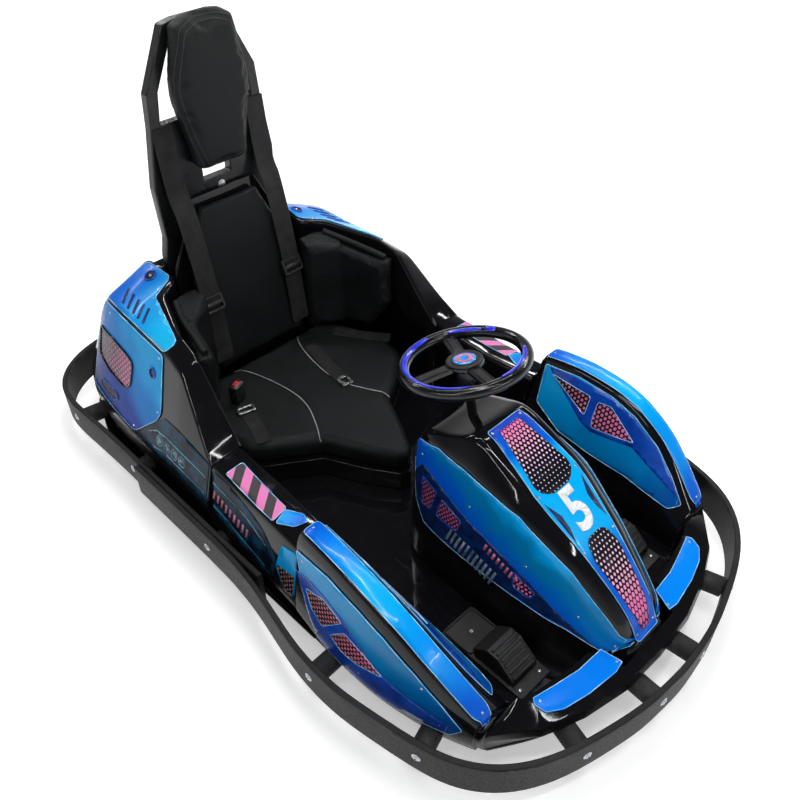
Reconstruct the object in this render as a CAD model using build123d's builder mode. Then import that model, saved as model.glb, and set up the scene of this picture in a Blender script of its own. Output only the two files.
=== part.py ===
from build123d import *
from math import cos, hypot, radians, sin
import os

os.makedirs("parts", exist_ok=True)

# Driving dimensions in millimetres: X forward, Y left, Z up, floor at Z = 0
RUN_GAP = 0.3
SHELL = 6
# how far a hollow's lower edge runs out below the foot, and a cut past a face
OPEN_BELOW = -2
CUT_PAST = 1
# how far outlines are pushed through the parts that they trim
TRIM_REACH = 800

# Bumper bands
BAND_LOW = 60
BAND_HIGH = 160
BAND_THICK = 14
# outer face of the front band, half outline: x, y
FRONT_BAND = [
    (957, 0), (954, 60), (945, 140), (928, 215), (905, 295), (877, 365), (838, 428), (788, 478),
    (730, 512), (655, 535), (570, 552), (480, 566), (390, 569), (300, 560), (200, 541), (110, 527),
    (20, 520), (-120, 518), (-260, 518), (-380, 518),
]
# outer face of the rear band, half outline: x, y
REAR_BAND = [
    (130, 503.7), (20, 503.7), (-120, 503.7), (-260, 503.7), (-400, 503.7), (-520, 504),
    (-640, 507), (-730, 507), (-800, 494), (-855, 462), (-900, 410), (-930, 345), (-947, 255),
    (-954, 150), (-957, 0),
]

# Floor tray
TRAY_LOW = 70
TRAY_HIGH = 78
# tray edge, half outline: x, y
TRAY_EDGE = [
    (868, 0), (862, 120), (838, 225), (802, 315), (748, 405), (690, 428), (600, 455), (500, 480),
    (400, 486), (300, 483), (200, 483), (60, 484), (-300, 484), (-530, 482), (-630, 462), (-700, 438),
    (-790, 400), (-840, 320), (-860, 200), (-864, 0),
]

# Wheels
FRONT_AXLE_X = 500
REAR_AXLE_X = -590
FRONT_TYRE_R = 110
FRONT_TYRE_W = 70
FRONT_WHEEL_Y = 412
REAR_TYRE_R = 130
REAR_TYRE_W = 110
REAR_WHEEL_Y = 352
RIM_R = 64
RIM_WALL = 5
STUB_R = 10
BEARING_GAP = 0.05
KINGPIN_Y = 354
KINGPIN_R = 8
FRONT_OPENING = (360, 640, 329, 520)
REAR_OPENING = (-740, -440, 286, 418)
REAR_NOTCH = (-626, -554, 240, 290)

# Steering wheel
WHEEL_X = 290
WHEEL_Z = 605
WHEEL_TILT = 14
WHEEL_R = 150
GRIP_R = 14
COLUMN_R = 11
COLUMN_CLEAR = 2

# Console, sections along X: x, foot y, mid y, mid z, edge y, edge z, ridge y, ridge z
CONSOLE = [
    (236, 112, 104, 190, 84, 395, 62, 412),
    (262, 134, 126, 190, 108, 430, 82, 446),
    (330, 154, 142, 190, 118, 452, 90, 470),
    (410, 162, 150, 190, 121, 446, 78, 512),
    (560, 166, 150, 184, 118, 412, 84, 436),
    (690, 158, 138, 172, 92, 328, 70, 346),
    (790, 128, 112, 150, 74, 238, 56, 258),
    (858, 92, 84, 120, 60, 164, 46, 176),
]
CONSOLE_TOP = [(409, 53), (559, 71), (685, 57), (770, 46), (850, 37)]
CONSOLE_SIDE = [
    (246, 398), (264, 424), (330, 446), (410, 440), (560, 406), (690, 322), (790, 232), (846, 174),
    (800, 160), (723, 182), (570, 196), (410, 201), (310, 204), (272, 250), (252, 350),
]
COLUMN_LENGTH = 380
PLATE_T = 3

# Side pods, sections along X: x, strip middle y, top z, outer low y, inner foot y, inner kink z
POD = [
    (226, 419, 352, 480, 318, 190),
    (245, 420, 369, 484, 318, 190),
    (350, 430, 376, 498, 318, 190),
    (450, 436, 366, 503, 318, 190),
    (520, 436, 346, 498, 318, 188),
    (600, 430, 302, 484, 318, 180),
    (660, 419, 252, 468, 316, 168),
    (722, 403, 193, 444, 312, 150),
    (748, 396, 168, 430, 310, 138),
]
POD_KINK_OUT = 8
POD_CREST = 24
POD_STRIP_HALF = 20
POD_STRIP_TIP = (735, 400, 11)
POD_SHOULDER_OUT = 36
POD_SHOULDER_DROP = 26
POD_LOW_Z = 118
POD_TUCK = 15
POD_OUTER_PLATE = [
    (238, 318), (350, 336), (450, 326), (520, 306), (600, 263), (660, 214), (712, 158),
    (690, 132), (560, 126), (420, 124), (330, 126), (285, 180),
]
POD_INNER_PLATE = [
    (250, 353), (350, 360), (450, 350), (520, 330), (600, 286), (660, 236), (712, 186),
    (690, 172), (640, 182), (560, 196), (450, 200), (350, 210), (262, 250),
]

# Sills, sections along X: x, inner foot y, inner top y, outer top y, outer low y, top z
SILL = [
    (-110, 342, 350, 436, 468, 312),
    (60, 334, 350, 438, 470, 300),
    (225.7, 322, 362, 446, 479, 302),
]
SILL_FALL = 8
SILL_PAD = [(-66, 428), (-64, 378), (118, 390), (160, 396), (166, 420), (124, 434)]

# Rear deck half width, and how far the rear pods' walls stand off it
REAR_DECK_HALF = 205.5
REAR_WALL = REAR_DECK_HALF + 0.5
REAR_WALL_TURN = REAR_DECK_HALF + 6.5
REAR_WALL_END = REAR_DECK_HALF + 12.5

# Rear pods, sections along X: x, inner wall y, inner top z, seam y, seam z, low y
REAR_POD = [
    (-110.3, 342, 312, 437, 304, 468),
    (-165, 340, 372, 420, 352, 467),
    (-262, 334, 496, 386, 462, 464),
    (-330, 326, 513, 376, 474, 462),
    (-500, 262, 526, 366, 477, 457),
    (-530, REAR_WALL, 534, 365, 478, 456),
    (-600, REAR_WALL, 545, 360, 482, 452),
    (-655, REAR_WALL_TURN, 541, 352, 478, 446),
    (-700, REAR_WALL_END, 490, 344, 440, 440),
    (-790, REAR_WALL_END, 360, 320, 330, 402),
    (-838, REAR_WALL_END, 262, 300, 240, 336),
]
REAR_UPPER_PLATE = [
    (-636, 224), (-541, 216), (-522, 280), (-332, 342), (-346, 373), (-500, 364), (-600, 358), (-652, 350),
]
REAR_SIDE_PLATE = [
    (-654, 475), (-600, 479), (-500, 474), (-352, 471), (-337, 316), (-352, 290), (-452, 200), (-476, 197),
    (-690, 212), (-698, 400),
]
REAR_DECK = [(-852, 78.3), (-616, 78.3), (-616, 520), (-655, 520), (-700, 476), (-790, 348), (-845, 246)]

# Front deck levels: height, spread from the tray's edge
DECK_REAR_X = POD[-1][0] + RUN_GAP
DECK_LEVELS = [(78.3, 0), (128, 25), (150, 20), (174, -75)]
FOOTWELL_FRONT = [(740, 322), (752, 318), (762, 292), (784, 180), (790, 116), (740, 116)]
NOSE_CLEAR = [(740, 147), (790, 129.5), (858.5, 94)]
FRONT_PLATE = [
    (770, 295), (781, 303), (806, 296), (827, 262), (843, 200), (854, 120), (850, 92), (803, 107),
    (798, 178), (784, 240),
]

# Bumper mounts: start x, start y, end x, end y
MOUNT_Z = 100
MOUNT_R = 17
MOUNTS = [
    (840, 70, 952, 78),
    (800, 255, 915, 288),
    (640, 430, 672, 540),
    (380, 470, 384, 572),
    (-60, 440, -60, 500),
    (-420, 440, -420, 500),
    (-700, 420, -714, 506),
    (-820, 130, -950, 150),
]
REAR_LOW_Z = 190

# Seat
SEAT_FLOOR = 138
CUSHION_HIGH = 205
# cushion, half outline: x, y
CUSHION = [
    (138, 0), (124, 28), (60, 72), (0, 104), (-62, 134), (-150, 266), (-190, 302),
    (-260, 320), (-330, 312), (-440, 270), (-480, 236), (-496, 190),
]

# Back frame
FRAME_X = -600
FRAME_THICK = 26
# frame, half outline: y, z
FRAME_OUT = [(50, 1132), (86, 1126), (157, 982), (164, 902), (186, 752), (181, 612), (192, 560), (192, 78.6)]
FRAME_WINDOW = [(68, 1096), (126, 982), (136, 905)]

# Pedals
PEDAL_Y = 222
PEDAL_W = 100
PEDAL_BLOCK_W = 84

# Straps
STRAP_W = 58
STRAP_T = 3
# mid lines of the left and the right shoulder strap
STRAP_YS = (138, -138)

# Heavy blocks behind the seat
BLOCK_SIDE = REAR_DECK_HALF - SHELL - 9.5
BATTERY = (-820, -640, -BLOCK_SIDE, 20, 250)
MOTOR = (-790, -640, 40, BLOCK_SIDE, 210)

# Seat details
PAN_STEP = 6
PANEL_HALF = 250
# side view, x, z: the panel leans back; the back pad lies on its front
BACK_PANEL_SIDE = [(-489, 78.3), (-508.3, 78.3), (-584, 700), (-576, 700), (-507.6, 138), (-489, 138)]
BACK_PANEL = [(196, 78), (196, 520), (150, 600), (104, 700)]
BACK_PAD_SIDE = [(-470, 205.6), (-515.1, 205.6), (-573.7, 690), (-548, 690)]
BACK_PAD = [(165, 205), (171, 300), (171, 480), (136, 600), (98, 690)]
CORNER_PAD = [(-506, 176), (-506, 232), (-494, 258), (-430, 284), (-402, 258), (-462, 172)]
CORNER_PAD_SIDE = [(-520, 205.3), (-390, 205.3), (-390, 500), (-520, 506)]
HIP_PAD = [(-429.8, 284.2), (-256, 330), (-250, 297), (-401.8, 258.2)]
HIP_PAD_SIDE = [(-430, 206), (-310, 232), (-250, 330), (-250, 478), (-430, 494)]
CUSHION_ROUND = 12
FRAME_SLOT = [(42, 850), (42, 727)]
HEADREST = [
    (50, 1150), (84, 1136), (98, 1086), (113, 1030), (118, 975), (113, 936), (92, 840), (76, 776),
    (60, 768),
]
HEADREST_THICK = 54
STRAP_LINE = [(-586.7, 900), (-566, 740), (-546, 690), (-522, 600), (-496, 460), (-488, 410), (-470, 250)]
SLIDER_X = -490.5
SLIDER_Z = 436
SLIDER_T = 18
SLIDER_H = 46
SLIDER_RIM = 8
SLIDER_WALL = 3
LATCH_AT = (-352, -190, 235.3)
LATCH_SIZE = (40, 46, 60)
LAP_STRAPS = [
    [(-272, 314), (-236, 298), (-392, 190), (-416, 222)],
    [(-410, 132), (-392, 90), (-200, 50), (-215, 92)],
    [(-328, -214), (-328, -176), (-160, -222), (-172, -262)],
]
PEDAL_BASE = [(500, 78.3), (734, 78.3), (734, 83), (500, 86)]
PEDAL_BLOCK = [(590, 82), (584, 106), (622, 140), (652, 138), (698, 100), (702, 82)]

# Chassis details: middle x, y, z and length, width, height of each bar on the left or in the middle
FRAME_BARS = [
    (0, 250, 54.7, 1500, 30, 30),
    (735, 0, 54.7, 30, 530, 30),
    (500, 0, 54.7, 40, 672, 30),
    (-590, 0, 54.7, 40, 540, 30),
    (-735, 0, 54.7, 30, 530, 30),
    (0, 0, 54.7, 30, 530, 30),
]
YOKE_BACK = 20
YOKE_PLATE = 8
YOKE_WIDE = 24
YOKE_TALL = 92
YOKE_LUG = 10
YOKE_LUG_MID = 41
BARREL_R = 11.5
BARREL_TALL = 70
ARM_LONG = 34
ARM_T = 9
FRONT_STUB_LONG = 88
FRONT_NUT_Y = 434
FRONT_WEB_Y = 408
REAR_WEB_Y = 350
REAR_STUB_R = 13
REAR_STUB_LONG = 140
REAR_NUT_Y = 382
NUT_R = 17
NUT_T = 10
CARRIER_Y = 260
CARRIER_Z = 100
CARRIER_LONG = 44
CARRIER_WIDE = 30
CARRIER_TALL = 120
WEB_T = 7
HUB_R = 24
HUB_IN = 18
HUB_OUT = 16
RIM_EDGE = 4
BORE_PAST = 20
# tyre profile as shares of its width and of its height over the rim
TYRE_FORM = [
    (0.1, 0), (0, 0.12), (0, 0.62), (0.12, 0.94), (0.3, 1), (0.7, 1), (0.88, 0.94), (1, 0.62), (1, 0.12),
    (0.9, 0),
]

# Steering details
SPOKE_T = 8
SPOKE_W = 30
SPOKE_ANGLES = (-20, 150, 252)
WHEEL_HUB_R = 42
HUB_RISE = 3
COLUMN_BOSS = 40
COLUMN_BOSS_R = 22
SUPPORT_BORE = 40
SUPPORT_LONG = 60
SUPPORT_WIDE = 90


def mirrored(half):
    # closes a half outline of x, y points that starts or ends on Y = 0
    other = [(x, -y) for x, y in reversed(half) if y > 0]
    return half + other


def side_points(points, distance):
    # moves an open row of points sideways, to the right of its direction
    moved = []
    for i, (px, py) in enumerate(points):
        ax, ay = points[max(i - 1, 0)]
        bx, by = points[min(i + 1, len(points) - 1)]
        size = hypot(bx - ax, by - ay)
        moved.append((px + distance * (by - ay) / size, py - distance * (bx - ax) / size))
    return moved


def inset(points, distances):
    # moves each edge of a closed anticlockwise polygon inwards by its own distance
    lines = []
    count = len(points)
    for i in range(count):
        ax, ay = points[i]
        bx, by = points[(i + 1) % count]
        size = hypot(bx - ax, by - ay)
        nx = -(by - ay) / size
        ny = (bx - ax) / size
        lines.append((nx, ny, nx * ax + ny * ay + distances[i]))
    result = []
    for i in range(count):
        n1x, n1y, c1 = lines[i - 1]
        n2x, n2y, c2 = lines[i]
        det = n1x * n2y - n1y * n2x
        result.append(((c1 * n2y - c2 * n1y) / det, (n1x * c2 - n2x * c1) / det))
    return result


def through(rows):
    # draws one closed YZ profile at each X and joins them with straight sides
    with BuildPart(mode=Mode.PRIVATE) as body:
        for x, points in rows:
            with BuildSketch(Plane.YZ.offset(x)):
                with BuildLine():
                    Polyline(*points, close=True)
                make_face()
        loft(ruled=True)
    return body.part


def shell_rows(rows):
    # inner profiles of a shell that is open below, its end walls one thickness in
    walls = len(rows[0][1]) - 1
    inner = [[x, inset(points, [SHELL] * walls + [OPEN_BELOW])] for x, points in rows]
    inner[0][0] += SHELL if inner[1][0] > inner[0][0] else -SHELL
    inner[-1][0] += -SHELL if inner[1][0] > inner[0][0] else SHELL
    return inner


def crossed(views):
    # the solid that outlines have in common, each drawn on its plane and pushed along it
    with BuildPart(mode=Mode.PRIVATE) as body:
        mode = Mode.ADD
        for plane, outline, reach in views:
            with BuildSketch(plane):
                with BuildLine():
                    Polyline(*outline, close=True)
                make_face()
            extrude(amount=reach, both=plane is not Plane.XY, mode=mode)
            mode = Mode.INTERSECT
    return body.part


def plate_on(solid, direction, plane, outline, reach):
    # a plate that lies on a solid's face, a running gap off it, cut to an outline
    near = Location([RUN_GAP * part for part in direction])
    far = Location([(RUN_GAP + PLATE_T) * part for part in direction])
    with BuildPart(mode=Mode.PRIVATE) as plate:
        add(solid.moved(far))
        add(solid.moved(near), mode=Mode.SUBTRACT)
        with BuildSketch(plane):
            with BuildLine():
                Polyline(*outline, close=True)
            make_face()
        extrude(amount=reach, mode=Mode.INTERSECT)
    return plate.part


# Floor tray
with BuildPart() as floor_tray:
    with BuildSketch(Plane.XY.offset(TRAY_LOW)):
        with BuildLine():
            Polyline(*mirrored(TRAY_EDGE), close=True)
        make_face()
        for x0, x1, y0, y1 in (FRONT_OPENING, REAR_OPENING, REAR_NOTCH):
            for side in (1, -1):
                with Locations(((x0 + x1) / 2, side * (y0 + y1) / 2)):
                    Rectangle(x1 - x0, y1 - y0, mode=Mode.SUBTRACT)
    extrude(amount=TRAY_HIGH - TRAY_LOW)
floor_tray.part.label = "floor_tray"
export_step(floor_tray.part, "parts/floor_tray.step")

# Console shell, a tapering hood between the footwells
SEAT_LEVEL = TRAY_HIGH + RUN_GAP
console_rows = []
for x, foot_y, mid_y, mid_z, edge_y, edge_z, ridge_y, ridge_z in CONSOLE:
    half = [(foot_y, SEAT_LEVEL), (mid_y, mid_z), (edge_y, edge_z), (ridge_y, ridge_z)]
    console_rows.append((x, half + [(-y, z) for y, z in reversed(half)]))
column_plane = Plane(
    origin=(WHEEL_X, 0, WHEEL_Z),
    x_dir=(cos(radians(WHEEL_TILT)), 0, sin(radians(WHEEL_TILT))),
    z_dir=(-sin(radians(WHEEL_TILT)), 0, cos(radians(WHEEL_TILT))),
)
console_solid = through(console_rows)
console_core = through(shell_rows(console_rows))
with BuildPart() as console_shell:
    add(console_solid)
    add(console_core, mode=Mode.SUBTRACT)
    with BuildSketch(column_plane):
        Circle(COLUMN_R + COLUMN_CLEAR)
    extrude(amount=-COLUMN_LENGTH, mode=Mode.SUBTRACT)
console_shell.part.label = "console_shell"
export_step(console_shell.part, "parts/console_shell.step")

# Console top plate, laid on the hood's crest
crest_outline = CONSOLE_TOP + [(x, -y) for x, y in reversed(CONSOLE_TOP)]
console_crest = plate_on(console_solid, (0, 0, 1), Plane.XY, crest_outline, TRIM_REACH)
with BuildPart() as console_top_plate:
    add(console_crest)
console_top_plate.part.label = "console_top_plate"
export_step(console_top_plate.part, "parts/console_top_plate.step")

# Console side plates
console_flank = plate_on(console_solid, (0, 1, 0), Plane.XZ, CONSOLE_SIDE, -TRIM_REACH)
with BuildPart() as console_side_plates:
    add(console_flank)
    mirror(about=Plane.XZ)
console_side_plates.part.label = "console_side_plates"
export_step(console_side_plates.part, "parts/console_side_plates.step")

# Side pods, hollow over the front wheels
pod_rows = []
for x, mid_y, top_z, low_y, foot_y, kink_z in POD:
    pod_rows.append((x, [
        (foot_y, SEAT_LEVEL),
        (foot_y + POD_KINK_OUT, kink_z),
        (mid_y - POD_CREST, top_z),
        (mid_y + POD_CREST, top_z),
        (mid_y + POD_SHOULDER_OUT, top_z - POD_SHOULDER_DROP),
        (low_y, POD_LOW_Z),
        (low_y - POD_TUCK, SEAT_LEVEL),
    ][::-1]))
pod_solid = through(pod_rows)
pod_core = through(shell_rows(pod_rows))
for name, side in (("side_pod_left", 1), ("side_pod_right", -1)):
    with BuildPart() as side_pod:
        add(pod_solid)
        add(pod_core, mode=Mode.SUBTRACT)
        if side < 0:
            mirror(about=Plane.XZ, mode=Mode.REPLACE)
    side_pod.part.label = name
    export_step(side_pod.part, "parts/" + name + ".step")

# Pod strips along the pods' crests
strip_rows = [(x, mid_y) for x, mid_y, top_z, low_y, foot_y, kink_z in POD[1:-1]]
tip_x, tip_y, tip_half = POD_STRIP_TIP
strip_outline = [(x, y - POD_STRIP_HALF) for x, y in strip_rows]
strip_outline += [(tip_x, tip_y - tip_half), (tip_x, tip_y + tip_half)]
strip_outline += [(x, y + POD_STRIP_HALF) for x, y in reversed(strip_rows)]
pod_strip = plate_on(pod_solid, (0, 0, 1), Plane.XY, strip_outline, TRIM_REACH)
with BuildPart() as pod_strips:
    add(pod_strip)
    mirror(about=Plane.XZ)
pod_strips.part.label = "pod_strips"
export_step(pod_strips.part, "parts/pod_strips.step")

# Pod side plates, one on each outer and each inner face
outer_plate = plate_on(pod_solid, (0, 1, 0), Plane.XZ, POD_OUTER_PLATE, -TRIM_REACH)
inner_plate = plate_on(pod_solid, (0, -1, 0), Plane.XZ, POD_INNER_PLATE, -TRIM_REACH)
with BuildPart() as pod_side_plates:
    add(outer_plate)
    add(inner_plate)
    mirror(about=Plane.XZ)
pod_side_plates.part.label = "pod_side_plates"
export_step(pod_side_plates.part, "parts/pod_side_plates.step")

# Sills beside the seat's front half
sill_rows = []
for x, foot_y, in_y, out_y, low_y, top_z in SILL:
    sill_rows.append((x, [
        (foot_y, SEAT_LEVEL),
        (in_y, top_z),
        (out_y, top_z - SILL_FALL),
        (low_y, POD_LOW_Z),
        (low_y - POD_TUCK, SEAT_LEVEL),
    ][::-1]))
sill_solid = through(sill_rows)
sill_core = through(shell_rows(sill_rows))
with BuildPart() as sills:
    add(sill_solid)
    add(sill_core, mode=Mode.SUBTRACT)
    mirror(about=Plane.XZ)
sills.part.label = "sills"
export_step(sills.part, "parts/sills.step")

# Sill pads
sill_pad = plate_on(sill_solid, (0, 0, 1), Plane.XY, SILL_PAD, TRIM_REACH)
with BuildPart() as sill_pads:
    add(sill_pad)
    mirror(about=Plane.XZ)
sill_pads.part.label = "sill_pads"
export_step(sill_pads.part, "parts/sill_pads.step")

# Rear pods beside the seat, hollow over the rear wheels
rear_rows = []
for x, wall_y, top_z, seam_y, seam_z, low_y in REAR_POD:
    rear_rows.append((x, [
        (wall_y, SEAT_LEVEL),
        (wall_y, top_z),
        (seam_y, seam_z),
        (low_y, REAR_LOW_Z),
        (low_y - POD_TUCK, SEAT_LEVEL),
    ][::-1]))
rear_pod_solid = through(rear_rows)
rear_pod_core = through(shell_rows(rear_rows))
for name, side in (("rear_pod_left", 1), ("rear_pod_right", -1)):
    with BuildPart() as rear_pod:
        add(rear_pod_solid)
        add(rear_pod_core, mode=Mode.SUBTRACT)
        if side < 0:
            mirror(about=Plane.XZ, mode=Mode.REPLACE)
    rear_pod.part.label = name
    export_step(rear_pod.part, "parts/" + name + ".step")

# Rear pod plates, an upper and a side plate on each
upper_plate = plate_on(rear_pod_solid, (0, 0, 1), Plane.XY, REAR_UPPER_PLATE, TRIM_REACH)
side_plate = plate_on(rear_pod_solid, (0, 1, 0), Plane.XZ, REAR_SIDE_PLATE, -TRIM_REACH)
with BuildPart() as rear_pod_plates:
    add(upper_plate)
    add(side_plate)
    mirror(about=Plane.XZ)
rear_pod_plates.part.label = "rear_pod_plates"
export_step(rear_pod_plates.part, "parts/rear_pod_plates.step")

# Rear deck, a hollow cover behind the seat
rear_deck_solid = crossed([(Plane.XZ, REAR_DECK, REAR_DECK_HALF)])
rear_deck_hollow = inset(REAR_DECK, [OPEN_BELOW] + [SHELL] * (len(REAR_DECK) - 1))
with BuildPart() as rear_deck:
    add(rear_deck_solid)
    with BuildSketch(Plane.XZ):
        with BuildLine():
            Polyline(*rear_deck_hollow, close=True)
        make_face()
    extrude(amount=REAR_DECK_HALF - SHELL, both=True, mode=Mode.SUBTRACT)
rear_deck.part.label = "rear_deck"
export_step(rear_deck.part, "parts/rear_deck.step")

# Front deck, the raised rim in front of the footwells
nose_edge = [point for point in TRAY_EDGE if point[0] >= POD[-1][0]]
with BuildPart() as deck_solid:
    for level, spread in DECK_LEVELS:
        with BuildSketch(Plane.XY.offset(level)):
            with BuildLine():
                nose = [(max(x, DECK_REAR_X + CUT_PAST), y) for x, y in side_points(nose_edge, spread)]
                nose[0] = (nose_edge[0][0] + spread, 0)
                nose[-1] = (DECK_REAR_X, nose[-1][1])
                Polyline(*mirrored(nose), close=True)
            make_face()
    loft(ruled=True)
with BuildPart() as front_deck:
    add(deck_solid.part)
    with BuildSketch(Plane.XY.offset(TRAY_LOW)):
        for side in (1, -1):
            with BuildLine():
                Polyline(*[(x, side * y) for x, y in FOOTWELL_FRONT], close=True)
            make_face()
        with BuildLine():
            Polyline(*NOSE_CLEAR, *[(x, -y) for x, y in reversed(NOSE_CLEAR)], close=True)
        make_face()
    extrude(amount=TRIM_REACH, mode=Mode.SUBTRACT)
front_deck.part.label = "front_deck"
export_step(front_deck.part, "parts/front_deck.step")

# Front corner plates on the deck
corner_plate = plate_on(deck_solid.part, (0, 0, 1), Plane.XY, FRONT_PLATE, TRIM_REACH)
with BuildPart() as front_plates:
    add(corner_plate)
    mirror(about=Plane.XZ)
front_plates.part.label = "front_plates"
export_step(front_plates.part, "parts/front_plates.step")

# Bumper bands
band_parts = []
for name, outer in (("bumper_front_band", FRONT_BAND), ("bumper_rear_band", REAR_BAND)):
    inner = side_points(outer, -BAND_THICK)
    if outer[0][1] == 0:
        inner[0] = (outer[0][0] - BAND_THICK, 0)
        left_out, left_in = outer, inner
    else:
        inner[-1] = (outer[-1][0] + BAND_THICK, 0)
        left_out, left_in = outer[::-1], inner[::-1]
    right_out = [(x, -y) for x, y in left_out[1:]]
    right_in = [(x, -y) for x, y in left_in[1:]]
    with BuildPart() as band:
        with BuildSketch(Plane.XY.offset(BAND_LOW)):
            with BuildLine():
                Spline(*(right_out[::-1] + left_out))
                Line(left_out[-1], left_in[-1])
                Spline(*(left_in[::-1] + right_in))
                Line(right_in[-1], right_out[-1])
            make_face()
        extrude(amount=BAND_HIGH - BAND_LOW)
    band.part.label = name
    export_step(band.part, "parts/" + name + ".step")
    band_parts.append(band.part)

# Bumper mounts, rubber posts between the body's foot and the bands
mount_reach = [point for point in side_points(FRONT_BAND, -BAND_THICK / 2) if point[0] > REAR_BAND[0][0]]
mount_reach[0] = (mount_reach[0][0], 0)
mount_reach += side_points(REAR_BAND, -BAND_THICK / 2)[:-1]
with BuildPart() as bumper_mounts:
    for x0, y0, x1, y1 in MOUNTS:
        reach = hypot(x1 - x0, y1 - y0)
        with BuildSketch(Plane(origin=(x0, y0, MOUNT_Z), z_dir=((x1 - x0) / reach, (y1 - y0) / reach, 0))):
            Circle(MOUNT_R)
        extrude(amount=reach)
    with BuildSketch(Plane.XY):
        with BuildLine():
            Polyline(*mirrored(mount_reach), close=True)
        make_face()
    extrude(amount=BAND_HIGH, mode=Mode.INTERSECT)
    for solid in (deck_solid.part, pod_solid, sill_solid, rear_pod_solid, rear_deck_solid):
        add(solid, mode=Mode.SUBTRACT)
    for solid in band_parts:
        add(solid, mode=Mode.SUBTRACT)
    mirror(about=Plane.XZ)
bumper_mounts.part.label = "bumper_mounts"
export_step(bumper_mounts.part, "parts/bumper_mounts.step")

# Seat shell: a pan under the cushion and a back panel
panel_outline = BACK_PANEL + [(-y, z) for y, z in reversed(BACK_PANEL)]
back_panel = crossed([(Plane.XZ, BACK_PANEL_SIDE, PANEL_HALF), (Plane.YZ, panel_outline, TRIM_REACH)])
pan_edge = inset(mirrored(CUSHION), [PAN_STEP] * (2 * len(CUSHION) - 1))
with BuildPart() as seat_shell:
    with BuildSketch(Plane.XY.offset(SEAT_LEVEL)):
        with BuildLine():
            Polyline(*pan_edge, close=True)
        make_face()
    extrude(amount=SEAT_FLOOR - SEAT_LEVEL)
    with BuildSketch(Plane.XY.offset(TRAY_LOW)):
        with BuildLine():
            Polyline(*inset(pan_edge, [SHELL] * len(pan_edge)), close=True)
        make_face()
    extrude(amount=SEAT_FLOOR - SHELL - TRAY_LOW, mode=Mode.SUBTRACT)
    add(back_panel)
seat_shell.part.label = "seat_shell"
export_step(seat_shell.part, "parts/seat_shell.step")

# Seat cushion
with BuildPart() as seat_cushion:
    with BuildSketch(Plane.XY.offset(SEAT_FLOOR + RUN_GAP)):
        with BuildLine():
            Polyline(*mirrored(CUSHION), close=True)
        make_face()
    extrude(amount=CUSHION_HIGH - SEAT_FLOOR - RUN_GAP)
    chamfer(seat_cushion.faces().sort_by(Axis.Z)[-1].edges(), CUSHION_ROUND)
seat_cushion.part.label = "seat_cushion"
export_step(seat_cushion.part, "parts/seat_cushion.step")

# Back pad
pad_outline = BACK_PAD + [(-y, z) for y, z in reversed(BACK_PAD)]
back_pad_solid = crossed([(Plane.XZ, BACK_PAD_SIDE, PANEL_HALF), (Plane.YZ, pad_outline, TRIM_REACH)])
with BuildPart() as back_pad:
    add(back_pad_solid)
back_pad.part.label = "back_pad"
export_step(back_pad.part, "parts/back_pad.step")

# Seat side pads, two upright pads on each side
corner_pad = crossed([(Plane.XY, CORNER_PAD, TRIM_REACH), (Plane.XZ, CORNER_PAD_SIDE, TRIM_REACH)])
hip_pad = crossed([(Plane.XY, HIP_PAD, TRIM_REACH), (Plane.XZ, HIP_PAD_SIDE, TRIM_REACH)])
with BuildPart() as seat_side_pads:
    add(corner_pad)
    add(hip_pad)
    mirror(about=Plane.XZ)
seat_side_pads.part.label = "seat_side_pads"
export_step(seat_side_pads.part, "parts/seat_side_pads.step")

# Back frame, a flat frame behind the seat with a window above its crossbar
with BuildPart() as back_frame:
    with BuildSketch(Plane.YZ.offset(FRAME_X - FRAME_THICK / 2)):
        cuts = ((FRAME_WINDOW, Mode.SUBTRACT), (FRAME_SLOT, Mode.SUBTRACT))
        for outline, mode in ((FRAME_OUT, Mode.ADD), *cuts):
            with BuildLine():
                Polyline(*outline, *[(-y, z) for y, z in reversed(outline)], close=True)
            make_face(mode=mode)
    extrude(amount=FRAME_THICK)
back_frame.part.label = "back_frame"
export_step(back_frame.part, "parts/back_frame.step")

# Headrest pad
with BuildPart() as headrest:
    with BuildSketch(Plane.YZ.offset(FRAME_X + FRAME_THICK / 2 + RUN_GAP)):
        with BuildLine():
            Polyline(*HEADREST, *[(-y, z) for y, z in reversed(HEADREST)], close=True)
        make_face()
    extrude(amount=HEADREST_THICK)
    chamfer(headrest.faces().sort_by(Axis.X)[-1].edges(), CUSHION_ROUND)
headrest.part.label = "headrest"
export_step(headrest.part, "parts/headrest.step")

# Shoulder straps
with BuildPart() as shoulder_straps:
    for strap_y in STRAP_YS:
        with BuildSketch(Plane.XZ.offset(-strap_y)):
            with BuildLine():
                Polyline(*STRAP_LINE, *[(x + STRAP_T, z) for x, z in reversed(STRAP_LINE)], close=True)
            make_face()
        extrude(amount=STRAP_W / 2, both=True)
shoulder_straps.part.label = "shoulder_straps"
export_step(shoulder_straps.part, "parts/shoulder_straps.step")

# Harness buckles: a slider on each shoulder strap and the latch at the right hip
with BuildPart() as harness_buckles:
    for strap_y in STRAP_YS:
        with Locations((SLIDER_X, strap_y, SLIDER_Z)):
            Box(SLIDER_T, STRAP_W + SLIDER_RIM, SLIDER_H)
            Box(SLIDER_T - 2 * SLIDER_WALL, STRAP_W + 2 * RUN_GAP, SLIDER_H * 2, mode=Mode.SUBTRACT)
    with Locations(LATCH_AT):
        Box(*LATCH_SIZE)
harness_buckles.part.label = "harness_buckles"
export_step(harness_buckles.part, "parts/harness_buckles.step")

# Lap straps lying on the cushion
with BuildPart() as lap_straps:
    with BuildSketch(Plane.XY.offset(CUSHION_HIGH + RUN_GAP)):
        for row in LAP_STRAPS:
            with BuildLine():
                Polyline(*row, close=True)
            make_face()
    extrude(amount=STRAP_T)
lap_straps.part.label = "lap_straps"
export_step(lap_straps.part, "parts/lap_straps.step")

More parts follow.
